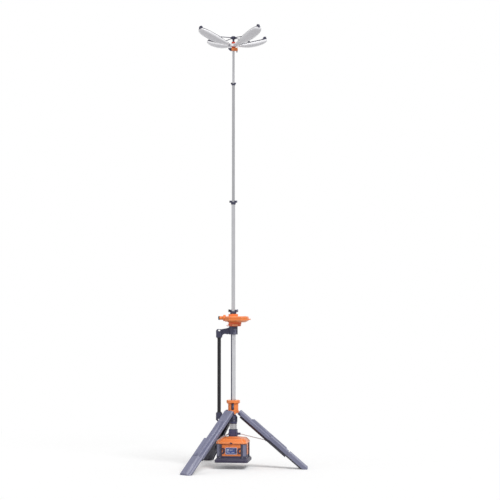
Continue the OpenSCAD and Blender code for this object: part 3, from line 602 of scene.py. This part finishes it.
# %% Start, end and use a tree
def start_tree(name, sizes):
    """A tree with a geometry input and output, and an input for each size, with its first value."""
    tree = bpy.data.node_groups.new(name, "GeometryNodeTree")

    def new(label, kind, in_out="INPUT"):
        return tree.interface.new_socket(label, in_out=in_out, socket_type="NodeSocket" + kind)

    new("Geometry", "Geometry", "OUTPUT")
    new("Geometry", "Geometry")
    for label, value in sizes.items():
        new(label, {int: "Int", float: "Float", tuple: "Vector"}[type(value)]).default_value = value
    new("Finish", "Material")
    return tree, tree.nodes.new("NodeGroupInput").outputs


def end_tree(tree, inputs, geometry):
    real = add_node(tree, "GeometryNodeRealizeInstances", {"Geometry": geometry})
    dressed = add_node(tree, "GeometryNodeSetMaterial", {"Geometry": real.outputs[0],
                                                         "Material": inputs["Finish"]})
    add_node(tree, "NodeGroupOutput", {0: dressed.outputs[0]})
    return tree


def grown(tree, source, sizes, place=None):
    """What a tree makes of a source mesh, as a bmesh. The sizes are in metres."""
    thing = linked(tree.name, source)
    modifier = thing.modifiers.new(tree.name, "NODES")
    modifier.node_group = tree
    for item in tree.interface.items_tree:
        if item.in_out == "INPUT" and item.name in sizes:
            modifier[item.identifier] = sizes[item.name]
    shape = bmesh.new()
    shape.from_mesh(apply_modifiers(thing))
    if place:
        shape.transform(place)
    bpy.data.objects.remove(thing)
    return shape


def grow(name, tree, source, body, slot, sizes, finish=None, place=None, replaced=()):
    """Runs a tree on a source mesh and makes the result one plain piece."""
    shape = grown(tree, source, dict(sizes, Finish=FINISH[finish or slot]), place)
    return make_piece(name, shape, body, slot, finish, replaced=replaced)


print("trees are run by one helper")


# %% A tree for screws and rivets
def fastener_tree(name, top_steps):
    """Heads on the source's points, each along its facing. top_steps: how far the top moves, in heights, and
    how much it shrinks, for each step."""
    tree, inputs = start_tree(name, {"Diameter": 0.008, "Height": 0.003})
    radius = maths(tree, "MULTIPLY", inputs["Diameter"], 0.5)
    head = add_node(tree, "GeometryNodeMeshCylinder", {"Vertices": 18, "Radius": radius,
                                                       "Depth": inputs["Height"]})
    geometry, top = head.outputs["Mesh"], head.outputs["Top"]
    for rise, share in top_steps:
        step = add_node(tree, "GeometryNodeExtrudeMesh", {
            "Mesh": geometry, "Selection": top, "Individual": False,
            "Offset Scale": maths(tree, "MULTIPLY", inputs["Height"], rise)})
        scaled = add_node(tree, "GeometryNodeScaleElements", {"Geometry": step.outputs["Mesh"],
                                                              "Selection": step.outputs["Top"], "Scale": share})
        geometry, top = scaled.outputs[0], step.outputs["Top"]
    facing = add_node(tree, "GeometryNodeInputNamedAttribute", {"Name": "facing"}, data_type="FLOAT_VECTOR")
    turn = add_node(tree, "FunctionNodeAlignRotationToVector", {"Vector": facing.outputs["Attribute"]}, axis="Z")
    copies = add_node(tree, "GeometryNodeInstanceOnPoints", {
        "Points": inputs["Geometry"], "Instance": geometry, "Rotation": turn.outputs[0]})
    return end_tree(tree, inputs, copies.outputs[0])


SOCKET_SCREW = fastener_tree("socket screw", [(0.15, 0.86), (0.0, 0.6), (-0.7, 0.98)])
DOMED_HEAD = fastener_tree("domed head", [(0.25, 0.86), (0.15, 0.7)])


def fasten(name, tree, spots, diameter, height, body, finish="screw_steel"):
    """Heads at spots, each a place whose z axis points outwards, in millimetres."""
    mesh = bpy.data.meshes.new(name)
    mesh.from_pydata([spot.translation for spot in spots], [], [])
    facing = mesh.attributes.new("facing", "FLOAT_VECTOR", "POINT")
    facing.data.foreach_set("vector", [v for spot in spots for v in (spot.to_3x3() @ Vector((0, 0, 1)))])
    return grow(name, tree, mesh, body, "screw_steel", {"Diameter": diameter * MM, "Height": height * MM}, finish)


print("two kinds of head:", SOCKET_SCREW.name, "and", DOMED_HEAD.name)


# %% Trees for a ring of ribs and a bead along a path
def rib_ring_tree():
    tree, inputs = start_tree("ring of ribs", {"Count": 12, "Radius": 0.01, "Rib": (0.001, 0.001, 0.01)})
    circle = add_node(tree, "GeometryNodeMeshCircle", {"Vertices": inputs["Count"], "Radius": inputs["Radius"]})
    rib = add_node(tree, "GeometryNodeMeshCube", {"Size": inputs["Rib"]})
    spot = add_node(tree, "GeometryNodeInputPosition", {}).outputs[0]
    turn = add_node(tree, "FunctionNodeAlignRotationToVector", {"Vector": spot}, axis="X", pivot_axis="Z")
    copies = add_node(tree, "GeometryNodeInstanceOnPoints", {
        "Points": circle.outputs[0], "Instance": rib.outputs["Mesh"], "Rotation": turn.outputs[0]})
    return end_tree(tree, inputs, copies.outputs[0])


def bead_tree():
    tree, inputs = start_tree("bead along a path", {"Thickness": 0.003})
    path = add_node(tree, "GeometryNodeMeshToCurve", {"Mesh": inputs["Geometry"]})
    section = add_node(tree, "GeometryNodeCurvePrimitiveCircle", {
        "Resolution": 10, "Radius": maths(tree, "MULTIPLY", inputs["Thickness"], 0.5)})
    bead = add_node(tree, "GeometryNodeCurveToMesh", {
        "Curve": path.outputs[0], "Profile Curve": section.outputs["Curve"], "Fill Caps": True})
    return end_tree(tree, inputs, bead.outputs[0])


RIB_RING = rib_ring_tree()
BEAD = bead_tree()


def path_mesh(name, points, closed=False):
    """A line of edges through points, for a tree to follow."""
    mesh = bpy.data.meshes.new(name)
    edges = [(k, k + 1) for k in range(len(points) - 1)] + ([(len(points) - 1, 0)] if closed else [])
    mesh.from_pydata(points, edges, [])
    return mesh


print("trees:", RIB_RING.name, "and", BEAD.name)

# %% [markdown]
# ## The power pack's front
# The pack is serviced from the front: two C-shaped handles pull it out, a wide knob holds the lid, and a display
# sits in a pale frame. The display shows only plain bars. The glass could be a texture on the frame, but a slab of
# its own in the recess gives a real edge and a clear coat.

# %% Handles and lid knob
BODY_LOW, BODY_HIGH = size_box("pack_body")
PANEL_LOW, PANEL_HIGH = size_box("control_panel")
LATCH_LOW, LATCH_HIGH = size_box("pack_latches")
PANEL_Z = (PANEL_LOW.z + PANEL_HIGH.z) / 2
HANDLE_X = LATCH_HIGH.x - 12
HANDLE_OUTLINE = [(-14, -29), (4, -29), (14, -20), (14, 20), (4, 29), (-14, 29), (-14, 15), (-3, 15), (1, 11),
                  (1, -11), (-3, -15), (-14, -15)]
GRIP_OUTLINE = rect(3, -17, 9, 34)
KNOB_Z = 268
KNOB_HALF = (13.65, 7.6)
KNOB_TOP = 0.72          # the knob's upper step, as a share of its foot


def make_handles():
    parts = []
    for side in (-1, 1):
        place = at(side * HANDLE_X, BODY_LOW.y, PANEL_Z) @ TO_FRONT
        parts += [(prism, [(-side * x, y) for x, y in HANDLE_OUTLINE], 0.1, 10, place),
                  (prism, [(-side * x, y) for x, y in GRIP_OUTLINE], 9, 15, place)]
    knob = at(0, LATCH_LOW.y + 10, KNOB_Z) @ TO_FRONT
    oval = [(KNOB_HALF[0] * x, KNOB_HALF[1] * y) for x, y in arc(1, 0, 360, 32)[:-1]]
    parts += [(prism, oval, 0, 5, knob), (prism, [(x * KNOB_TOP, y * KNOB_TOP) for x, y in oval], 4, 9.5, knob)]
    return piece_of("pack_handles", parts, "base", "black_plastic", finish="base_plastic", round_by=1.1,
                    replaced=["pack_latches"])


handles = make_handles()
print("handles:", len(handles.data.polygons), "faces")


# %% Display
def make_display():
    place = at(0, PANEL_LOW.y, PANEL_Z) @ TO_FRONT
    piece_of("display_glass", [(prism, cut_rect(110, 58, 4), -1.9, -0.9, place)], "base", "display_glass",
             round_by=0.3)
    piece_of("display_side", [(prism, rect(40, -27, 13, 54), -1.0, -0.6, place)], "base", "display_glass",
             finish="navy_plastic")
    bars = ((-46, 4, 26, 13), (-46, -8, 18, 5), (-46, -18, 30, 4), (-12, 10, 30, 3), (-12, 3, 22, 3), (4, -18, 28, 4))
    return piece_of("display_bars", [(prism, rect(*bar), -0.95, -0.6, place) for bar in bars], "base",
                    "display_glass", finish="display_mark")


print("display bars:", len(make_display().data.polygons), "faces")

# %% [markdown]
# ## The pack's posts and screws
# Each corner post carries a lighter strip on its face, and the posts, the base and the block are screwed together.
# The screws come from the fastener tree: a list of places is enough to set them all.

# %% Strips in the posts
POST_LOW, POST_HIGH = size_box("pack_corner_posts")
BODY_CHAMFER = 52
POST_DEPTH = 22.3
POST_FACE = (2 * BODY_HIGH.x - BODY_CHAMFER) / math.sqrt(2) + POST_DEPTH     # from the axis to a post's face
CORNERS = (45, 135, 225, 315)
piece_of("post_strips", [(prism, cut_rect(6, 42, 1.5), POST_LOW.z + 25, POST_HIGH.z - 6,
                          around(corner) @ at(POST_FACE - 2.4)) for corner in CORNERS],
         "base", "slate_enamel", round_by=0.8)
print("posts' faces are", round(POST_FACE), "mm from the axis")


# %% Screws in the pack
def pack_screws():
    spots = [around(corner) @ at(POST_FACE, y, POST_LOW.z + 12) @ OUTWARDS
             for corner in CORNERS for y in (-24, 24)]
    spots += [around(corner) @ at(68, 0, size_box("pack_lid")[1].z - 5) for corner in CORNERS]
    return fasten("pack_screws", SOCKET_SCREW, spots, 8, 2.4, "base")


def block_screws():
    low, high = size_box("mount_block")
    spots = [around(side) @ at(42.5, y, z) @ OUTWARDS
             for side in (0, 90, 180, 270) for y in (-31, 31) for z in (low.z + 12, high.z - 34)]
    return fasten("block_screws", SOCKET_SCREW, spots, 9, 2.4, "base", "black_plastic")


pack_screws()
block_screws()
print("screws in the pack and block")

# %% [markdown]
# ## The column and its brackets
# Where a tube enters a moulded part there is a seal or a ferrule: a dark ring a few millimetres tall. They are turned
# shapes, each a little clear of what slides in it. The bottom tube also has a dark strip in its groove, a part of a
# ring pushed along the tube: it is painted shade and reflection, for the dark band that the groove's shade and the
# black handle bar's reflection lay along the tube.

# %% Rings and ferrules on the column
BRACKET_LOW, BRACKET_HIGH = size_box("upper_bracket")
LOWER_HIGH = size_box("lower_bracket")[1]
SLEEVE_LOW, SLEEVE_HIGH = size_box("column_sleeve")
COUPLING_LOW, COUPLING_HIGH = size_box("column_coupling")
BAR_LOW, BAR_HIGH = size_box("handle_bar")
BAR_X = (BAR_LOW.x + BAR_HIGH.x) / 2
BRACKET_FOOT = BRACKET_HIGH.z - 85
TUBE_R = 25.0
GROOVE_AT = -137         # the groove's bearing round the tube, in degrees

piece_of("column_seals", [(hoop, TUBE_R + 0.2, TUBE_R + 4.5, COUPLING_HIGH.z - 0.5, COUPLING_HIGH.z + 3),
                          (hoop, 37.5, 39.4, SLEEVE_HIGH.z - 3, SLEEVE_HIGH.z + 0.2),
                          (hoop, 37.4, 39.8, SLEEVE_LOW.z + 0.1, SLEEVE_LOW.z + 4)], "base", "rubber")


def make_bar_ferrules():
    shape = bmesh.new()
    for z, way in ((BRACKET_LOW.z, -1), (LOWER_HIGH.z, 1)):
        low, high = sorted((z, z + way * 9))
        place = at(BAR_X, 0, 0)
        outer, inner = cut_rect(41, 51, 10), cut_rect(34.4, 44.4, 8)
        rings = [[shape.verts.new(place @ (Vector((x, y, level)) * MM)) for x, y in outline]
                 for outline, level in ((outer, low), (outer, high), (inner, high), (inner, low))]
        for here, there in zip(rings, rings[1:] + rings[:1]):
            for k in range(8):
                shape.faces.new((here[k], here[(k + 1) % 8], there[(k + 1) % 8], there[k]))
    return make_piece("bar_ferrules", shape, "base", "rubber", round_by=0.6)


make_bar_ferrules()
# A dark strip in the bottom tube's groove: painted shade and reflection, for the dark band that the groove's shade
# and the black handle bar's reflection lay along the tube.
piece_of("tube_shade_strip", [(prism, bent(TUBE_R - 1.1, TUBE_R - 0.35, GROOVE_AT - 22, GROOVE_AT + 22, 14),
                         SLEEVE_HIGH.z + 88, BRACKET_FOOT - 1)], "base", "navy_plastic")
print("bottom tube strip ends at", round(BRACKET_FOOT), "mm")


# %% Screws and painted highlight of the brackets
def make_bracket_details():
    # A lighter slate strip down the front right of the upper bracket's ring: painted highlight, where the light runs
    # down the ring.
    piece_of("bracket_highlight_strip", [(prism, bent(45.6, 46.7, -62, -46, 6), BRACKET_FOOT + 5, BRACKET_HIGH.z - 24)],
             "base", "slate_enamel", round_by=0.3)
    spots = [around(a) @ at(46, 0, BRACKET_FOOT + z) @ OUTWARDS for a in (-70, -38) for z in (16, 50)]
    spots += [around(a) @ at(43.8, 0, COUPLING_LOW.z + z) @ OUTWARDS for a in (-72, 60, 108) for z in (28, 58)]
    fasten("bracket_screws", SOCKET_SCREW, spots, 8, 2.2, "base")
    place = around(-84) @ at(TUBE_R - 0.35, 0, BRACKET_FOOT - 48) @ OUTWARDS
    return piece_of("tube_plug", [(turned, [(0, 0), (4.2, 0), (4.2, 0.25), (0, 0.4)], place, 24)], "base", "rubber")


make_bracket_details()
print("bracket screws set")

# %% [markdown]
# ## The reel and the clamps
# The reel's flange carries a ring of bolts and its socket has a dark cap, with a dark band round the socket's end
# that is painted shade for the shaded notch there, and a lighter keeper holds the drum. Each clamp on the mast has a
# seal at its top and a cap on each end of its screw.

# %% Reel
HOUSING_LOW = size_box("reel_housing")[0]
DRUM_LOW = size_box("reel_drum")[0]
SOCKET_LOW, SOCKET_HIGH = size_box("reel_socket")
SOCKET_Z = (SOCKET_LOW.z + SOCKET_HIGH.z) / 2
HOUSING_X = 37
DRUM_X = 18


def make_reel_details():
    flange = [at(-104, 0, SOCKET_Z) @ DOWN_X @ around(a) @ at(26.5)
              for a in range(0, 360, 60)]
    fasten("flange_bolts", SOCKET_SCREW, flange, 10, 4.5, "base", "black_plastic")
    top = [at(HOUSING_X + x, y, HOUSING_LOW.z + 63) for x in (-88, 88) for y in (-52, 52)]
    fasten("housing_bolts", SOCKET_SCREW, top, 10, 3, "base")
    place = at(SOCKET_LOW.x, 0, SOCKET_Z) @ DOWN_X
    # The dark band round the socket's end is painted shade, standing in for the shaded notch there. The ring at the
    # mouth and the insert deep in the bore are the cap's own dark rubber.
    piece_of("socket_cap_and_shade_band", [(hoop, 13.1, 18.6, -0.2, 1.2, place, 40), (hoop, 19.05, 20.2, -12, 0.4, place, 40),
                            (turned, [(0, -27.8), (12.9, -27.8), (12.9, -26.6), (0, -26.6)], place, 32)],
             "base", "rubber")
    piece_of("drum_keeper", [(prism, bent(62.5, 65.4, -112, -52, 16), DRUM_LOW.z + 6, DRUM_LOW.z + 20, at(DRUM_X))],
             "base", "orange_plastic", finish="light_orange", round_by=0.8)
    piece_of("drum_keeper_ends", [(prism, bent(62, 66.4, start, start + 5, 4), DRUM_LOW.z + 3, DRUM_LOW.z + 23,
                                   at(DRUM_X)) for start in (-118, -49)], "base", "red_plastic", round_by=0.8)
    seam = [(x + HOUSING_X, y) for x, y in cut_rect(236.6, 236.6, 52.3)]
    points = [Vector((x, y, HOUSING_LOW.z + 44)) * MM for x, y in seam]
    return grow("housing_seam", BEAD, path_mesh("housing_seam", points, closed=True), "base", "orange_plastic",
                {"Thickness": 1.8 * MM}, "red_plastic")


print("housing seam:", len(make_reel_details().data.polygons), "faces")

# %% Clamps
CLAMPS = (("mast_clamp_1", "base", 19.0), ("mast_clamp_2", "mast_2", 15.0), ("mast_clamp_3", "mast_3", 12.5))
BOX_TOP, RING_TOP, BOSS_MIDDLE, BOSS_R = 0.85, 0.5, 0.62, 0.23       # all as shares of a clamp's height


def make_clamp_details(node, body, tube_r):
    low, high = size_box(node)
    tall = (high.z - low.z) / BOX_TOP
    ring_top = low.z + tall * RING_TOP
    piece_of(f"{node}_seal", [(hoop, tube_r + 0.35, tube_r + 3.4, ring_top - 0.3, ring_top + 2.6, Matrix(), 48)],
             body, "rubber")
    if node == "mast_clamp_1":
        return
    boss_z = low.z + tall * BOSS_MIDDLE
    boss_r = tall * BOSS_R
    # The left cap is black and the right one lighter slate: painted shade and painted light, a shaded and a lit copy
    # of one cap for the clamp's two sides.
    for side, finish in ((-1, "black_plastic"), (1, "slate_enamel")):
        place = at(side * (high.x - 5), 0, boss_z) @ Matrix.Rotation(side * math.pi / 2, 4, "Y")
        outline = [(0, 5.05), (0, 5.8), (boss_r - 0.8, 5.8), (boss_r + 1, 4.6), (boss_r + 1, 0.6), (boss_r + 0.1, 0),
                   (boss_r + 0.1, 5.05)]
        piece_of(f"{node}_cap_{'right' if side > 0 else 'left'}", [(turned, outline, place, 32)], body,
                 "black_plastic", finish=finish)


for clamp in CLAMPS:
    make_clamp_details(*clamp)
print("clamps:", ", ".join(node for node, _, _ in CLAMPS))

# %% [markdown]
# ## The leg hub and the legs
# The hub's window is framed and its latch has a lighter finger pad. Each leg is a folded channel with dark strips
# along its rib, which are painted shade for the shaded groove at the rib's foot, a notched plate where the housing
# starts and rivets at the hinge, and its foot ends in a dark sole.
# A leg's pieces are made once in its own axes, with z running up the leg, and placed by its matrix.

# %% Hub window and pad
HUB_HIGH = size_box("leg_hub")[1]
HUB_LATCH_LOW, HUB_LATCH_HIGH = size_box("hub_latch")


def make_hub_details():
    middle = (HUB_LATCH_LOW.z + HUB_LATCH_HIGH.z) / 2
    front = at(0, HUB_LATCH_HIGH.y - 6, middle) @ TO_FRONT
    piece_of("hub_latch_pad", [(prism, cut_rect(9, 52, 2), -0.2, 1.1, front @ at(6.5, 3))], "hub", "slate_enamel",
             round_by=0.4)
    spots = [around(a) @ at(70.5, 0, HUB_HIGH.z - 16) @ OUTWARDS for a in (30, 90, 150, 210, 330)]
    fasten("hub_screws", SOCKET_SCREW, spots, 8, 2, "hub")
    return piece_of("hub_seal", [(hoop, TUBE_R + 0.5, TUBE_R + 5, HUB_HIGH.z - 0.4, HUB_HIGH.z + 2.5)], "hub",
                    "rubber")


make_hub_details()
print("hub window and seal")

# %% Painted shade lines, plates and rivets of a leg
LEG_TOP = 31.0           # the channel's outer face, from its middle plane
RIB_TOP = LEG_TOP + 22


def make_leg_details(i):
    place, body = LEG_PLACE[i], f"leg_{i}"
    outward = place @ OUTWARDS      # x now runs down the leg and z away from its outer face
    # Dark strips beside and along the rib: painted shade, standing in for the shade in the groove at the rib's foot
    # and along its edges.
    rib_shade_lines = [(prism, rect(150, y - 1.5, 242, 3), LEG_TOP - 0.6, LEG_TOP + 0.5, outward) for y in (-24.5, 24.5)]
    rib_shade_lines.append((prism, rect(172, -1.2, 388, 2.4), RIB_TOP - 0.6, RIB_TOP + 0.4, outward))
    piece_of(f"leg_{i}_inlays", rib_shade_lines, body, "navy_plastic", round_by=0.25)
    piece_of(f"leg_{i}_plates", [(prism, cut_rect(13, 22, 4), 0, 2.4, outward @ at(392, -36, LEG_TOP - 0.2)),
                                 (prism, cut_rect(9, 34, 3), 0, 2.6, outward @ at(640, 0, RIB_TOP - 24))],
             body, "navy_plastic", round_by=0.5)
    spots = [outward @ at(u, v, LEG_TOP)
             for u, v in ((38, -34), (38, 34), (92, -34), (92, 34), (470, 40), (600, 40))]
    return fasten(f"leg_{i}_rivets", DOMED_HEAD, spots, 9, 1.6, body, "slate_enamel")


for i in LEGS:
    make_leg_details(i)
print("legs:", len(LEGS), "with inlays, plates and rivets")

# %% [markdown]
# ## The lamp head
# Each petal is a long boat-shaped shell. Its width and depth swell along its length by a simple rule, so the shell
# is a grid whose points are moved by that rule in a tree: finer than the frame's shell and easy to change. Its
# first and last rows shrink to a point, which closes the ends. A dark gasket follows the same rule along the rim.

# %% The rule of a petal's shell
PETAL_LENGTH, SHELL_START = 405.0, 17.0
ROOT_HALF, WIDEST = 20.0, 66.0
ROOT_DEEP, DEEPEST = 14.0, 52.0
WIDE_AT, DEEP_AT = 0.66, 0.55
MIDDLE = 0.33            # depth of a section's widest place, as a share of its depth
SECTION_START = math.asin(MIDDLE / (1 - MIDDLE))
CROWDING = 1.6           # how much closer the rows lie towards the tip
RISE, FALL = 1.8, 2.6    # powers of the curves to and from the widest place
BLUNT = 0.996            # the rule stops here, which leaves a blunt tip


def shell_rim(share):
    """Point on the shell's rim at a share of its rows, on its +y side, in millimetres."""
    s = 1 - (1 - share) ** CROWDING
    t = min(s, BLUNT)
    swell = 1 - (1 - t / WIDE_AT) ** RISE if t < WIDE_AT else \
        math.sqrt(1 - ((t - WIDE_AT) / (1 - WIDE_AT)) ** FALL)
    half = ROOT_HALF + (WIDEST - ROOT_HALF) * swell
    return Vector((SHELL_START + s * (PETAL_LENGTH - SHELL_START), half * math.cos(SECTION_START), 0))


# %% Sums in a tree
class Term:
    """A value in a tree. Each sum with it adds a Math node, so that a rule reads as it does on paper."""

    def __init__(self, tree, value):
        self.tree, self.value = tree, value

    def to(self, operation, other=0.0):
        value = other.value if isinstance(other, Term) else other
        return Term(self.tree, maths(self.tree, operation, self.value, value))

    def power(self, exponent):
        """To a power, with a value below 0 taken as 0."""
        return self.to("MAXIMUM", 0.0).to("POWER", exponent)

    def __add__(self, other):
        return self.to("ADD", other)

    def __sub__(self, other):
        return self.to("SUBTRACT", other)

    def __rsub__(self, other):
        return Term(self.tree, other) - self

    def __mul__(self, other):
        return self.to("MULTIPLY", other)

    def __truediv__(self, other):
        return self.to("DIVIDE", other)


# %% The shell as a tree
def swell_rule(s, peak):
    """Grows from 0 at the root to 1 at the peak and rounds off bluntly to the tip."""
    rising = 1.0 - (1.0 - s / peak).power(RISE)
    falling = (1.0 - ((s - peak) / (1.0 - peak)).power(FALL)).power(0.5)
    return rising.to("MINIMUM", falling)


def shell_tree():
    tree, inputs = start_tree("petal shell", {
        "Rows": 60, "Columns": 34, "Start": SHELL_START * MM, "Length": PETAL_LENGTH * MM,
        "Root Half": ROOT_HALF * MM, "Widest": WIDEST * MM, "Root Deep": ROOT_DEEP * MM, "Deepest": DEEPEST * MM,
        "Wide At": WIDE_AT, "Deep At": DEEP_AT, "Middle": MIDDLE})
    grid = add_node(tree, "GeometryNodeMeshGrid", {"Size X": 1.0, "Size Y": 1.0, "Vertices X": inputs["Rows"],
                                                   "Vertices Y": inputs["Columns"]})
    spot = add_node(tree, "ShaderNodeSeparateXYZ", {0: add_node(tree, "GeometryNodeInputPosition", {}).outputs[0]})

    def size(label):
        return Term(tree, inputs[label])

    def number(axis, last):
        """The number of a point's row or column."""
        return ((Term(tree, spot.outputs[axis]) + 0.5) * last).to("ROUND")

    def between(low, high, amount):
        return size(low) + (size(high) - size(low)) * amount

    last_row = size("Rows") - 1.0
    row = number("X", last_row)
    open_end = row.to("MINIMUM", last_row - row).to("MINIMUM", 1.0)
    share = ((row - 1.0) / (last_row - 2.0)).to("MINIMUM", 1.0).to("MAXIMUM", 0.0)
    along = 1.0 - (1.0 - share).power(CROWDING)
    capped = along.to("MINIMUM", BLUNT)
    half = between("Root Half", "Widest", swell_rule(capped, size("Wide At"))) * open_end
    deep = between("Root Deep", "Deepest", swell_rule(capped, size("Deep At"))) * open_end
    last_column = size("Columns") - 1.0
    turned_share = (number("Y", last_column) / (last_column - 1.0)).to("MODULO", last_column / (last_column - 1.0))
    flat = 1.0 - size("Middle")
    first = (size("Middle") / flat).to("ARCSINE")
    angle = turned_share * (first * 2.0 + math.pi) - first
    drop = size("Middle") + flat * angle.to("SINE")
    place = add_node(tree, "ShaderNodeCombineXYZ", {
        "X": between("Start", "Length", along).value, "Y": (half * angle.to("COSINE")).value,
        "Z": (deep * drop * -1.0).value})
    moved = add_node(tree, "GeometryNodeSetPosition", {"Geometry": grid.outputs["Mesh"],
                                                       "Position": place.outputs[0]})
    return end_tree(tree, inputs, moved.outputs[0])


PETAL_SHELL = shell_tree()
print("shell rim at its middle row:", [round(v, 1) for v in shell_rim(0.5)])


# %% Shells and gaskets
GASKET = 5.6
GASKET_OFFSET = Vector((0, -3, 1.2))     # inwards and up from the rim, so that folded petals clear each other
FRAME_SHARE = 0.885      # a petal frame's width, as a share of its shell's rim
FRAME_MIDDLE = 4         # from the frame's edge to the middle of its bar
FRAME_TOP = 8.3


def make_petal(i):
    place, body = PETAL_PLACE[i], f"petal_{i}"
    shell = grow(f"petal_{i}_skin", PETAL_SHELL, bpy.data.meshes.new("empty"), body, "lamp_shell",
                 {"Rows": 64, "Columns": 36}, place=place, replaced=[f"petal_{i}_shell"])
    half = [shell_rim(k / 40) + GASKET_OFFSET for k in range(1, 41)]
    rim = half + [Vector((p.x, -p.y, p.z)) for p in reversed(half)]
    points = [place @ (p * MM) for p in rim]
    grow(f"petal_{i}_gasket", BEAD, path_mesh("gasket", points), body, "navy_plastic", {"Thickness": GASKET * MM},
         "rubber")
    spots = [place @ at(edge.x, side * (edge.y * FRAME_SHARE - FRAME_MIDDLE), FRAME_TOP)
             for edge in map(shell_rim, (0.3, 0.5, 0.72)) for side in (-1, 1)]
    fasten(f"petal_{i}_screws", SOCKET_SCREW, spots, 5.5, 1.6, body)
    return shell


for i in PETALS:
    skin = make_petal(i)
print("each petal shell:", len(skin.data.polygons), "faces")

# %% [markdown]
# ## The middle of the head
# Red collars part the orange hub from the pale forks and the dark post. Under the hub hangs a small ribbed knob. It
# is a turned knob with a ring of ribs from the rib tree, joined into one mesh so that it is one piece.


# %% Collars, pin heads and knob
def make_head_details():
    low, high = size_box("head_hub")
    fork_low, fork_high = size_box("petal_forks")
    piece_of("head_collars", [(hoop, 17.1, 21.5, low.z + 34.2, fork_low.z - 0.2),
                              (hoop, 17.1, 20.5, fork_high.z + 0.2, high.z - 1)],
             "mast_4", "orange_plastic", finish="red_plastic", round_by=0.5)
    pins = []
    for i in PETALS:
        pin = hinged_frame(f"petal_{i}_hinge")
        pins += [pin @ at(0, side * 19, 0) @ Matrix.Rotation(-side * math.pi / 2, 4, "X") for side in (-1, 1)]
    fasten("fork_pins", DOMED_HEAD, pins, 9, 1.6, "mast_4")


def make_head_knob():
    low, high = size_box("head_knob")
    middle = (low.x + high.x) / 2
    shape = grown(RIB_RING, bpy.data.meshes.new("empty"),
                  {"Count": 16, "Radius": 5.4 * MM, "Rib": (1.2 * MM, 0.9 * MM, 7.5 * MM)},
                  at(middle, 0, low.z + 5.3))
    turned(shape, [(0, 0), (4.4, 0), (5.5, 1), (5.5, 9.8), (4.6, 10.8), (3.4, 11), (3.4, 14.8), (0, 14.8)],
           at(middle, 0, low.z), 32)
    return make_piece("head_knob_ribbed", shape, "mast_4", "black_plastic", replaced=["head_knob"])


make_head_details()
print("head knob:", len(make_head_knob().data.polygons), "faces")


# %% [markdown]
# ## The floor and the light
# The tower stands on a pale floor in soft studio light. The floor fades to plain white away from the object, so
# that no horizon shows behind the mast. A broad sun lamp lights the head and the feet alike, which one lamp near
# the object couldn't do on something this tall. Only the camera, reflections and glass see the white distance:
# for the light that falls on the tower the floor is a plain mid grey, as a studio's floor is.

# %% Floor, world and lamps
FLOOR_HALF = 40.0
FADE_FROM, FADE_TO = 1.6, 5.0
FLOOR_SEEN = (0.94, 0.94, 0.94, 1)
FLOOR_BOUNCE = (0.52, 0.52, 0.53, 1)


def seen_directly(tree):
    """1 for the rays that draw the background, 0 for those that light the tower."""
    path = add_node(tree, "ShaderNodeLightPath", {}).outputs
    return maths(tree, "MAXIMUM", path["Is Camera Ray"],
                 maths(tree, "MAXIMUM", path["Is Glossy Ray"], path["Is Transmission Ray"]))


def mixed(tree, amount, first, second, output=None):
    """Two shaders mixed by an amount, and given to the output node if one is named."""
    mix = add_node(tree, "ShaderNodeMixShader", {0: amount, 1: first.outputs[0], 2: second.outputs[0]})
    if output:
        fill(tree, tree.nodes[output], {"Surface": mix.outputs[0]})
    return mix


def make_floor():
    mesh = bpy.data.meshes.new("floor")
    corners = [(x, y, -0.0005) for x, y in ((-1, -1), (1, -1), (1, 1), (-1, 1))]
    mesh.from_pydata([(x * FLOOR_HALF, y * FLOOR_HALF, z) for x, y, z in corners], [], [(0, 1, 2, 3)])
    floor = linked("floor", mesh)
    material = bpy.data.materials.new("floor")
    material.use_nodes = True
    tree = material.node_tree
    tree.nodes.remove(tree.nodes["Principled BSDF"])
    where = add_node(tree, "ShaderNodeTexCoord", {}).outputs["Object"]
    far = add_node(tree, "ShaderNodeVectorMath", {0: where}, operation="LENGTH").outputs["Value"]
    fade = add_node(tree, "ShaderNodeMapRange", {"Value": far, "From Min": FADE_FROM, "From Max": FADE_TO})
    matt = add_node(tree, "ShaderNodeBsdfDiffuse", {"Color": FLOOR_SEEN})
    bounce = add_node(tree, "ShaderNodeBsdfDiffuse", {"Color": FLOOR_BOUNCE})
    lift = add_node(tree, "ShaderNodeEmission", {"Color": (1, 1, 1, 1), "Strength": 0.1})
    near = add_node(tree, "ShaderNodeAddShader", {0: matt.outputs[0], 1: lift.outputs[0]})
    white = add_node(tree, "ShaderNodeEmission", {"Color": (1, 1, 1, 1), "Strength": 1.0})
    drawn = mixed(tree, fade.outputs[0], near, white)
    mixed(tree, seen_directly(tree), bounce, drawn, "Material Output")
    mesh.materials.append(material)


def make_world(level):
    world = bpy.data.worlds.new("studio")
    bpy.context.scene.world = world
    world.use_nodes = True
    tree = world.node_tree
    soft = add_node(tree, "ShaderNodeBackground", {"Color": (1, 1, 1, 1), "Strength": level})
    white = add_node(tree, "ShaderNodeBackground", {"Color": (1, 1, 1, 1), "Strength": 1.0})
    mixed(tree, seen_directly(tree), soft, white, "World Output")


def sun(name, strength, bearing, height, spread):
    """A soft sun lamp that shines from a bearing round the tower and a height above the horizon, in degrees."""
    data = bpy.data.lights.new(name, "SUN")
    data.energy = strength
    data.angle = math.radians(spread)
    lamp = linked(name, data)
    b, h = math.radians(bearing), math.radians(height)
    back = Vector((math.sin(b) * math.cos(h), -math.cos(b) * math.cos(h), math.sin(h)))
    lamp.rotation_mode = "QUATERNION"
    lamp.rotation_quaternion = back.to_track_quat("Z", "Y")


make_floor()
make_world(0.45)
sun("key", 2.0, 42, 48, 25)
sun("fill", 0.35, -60, 20, 60)
bpy.context.scene.view_settings.view_transform = "Standard"
print("stage set")
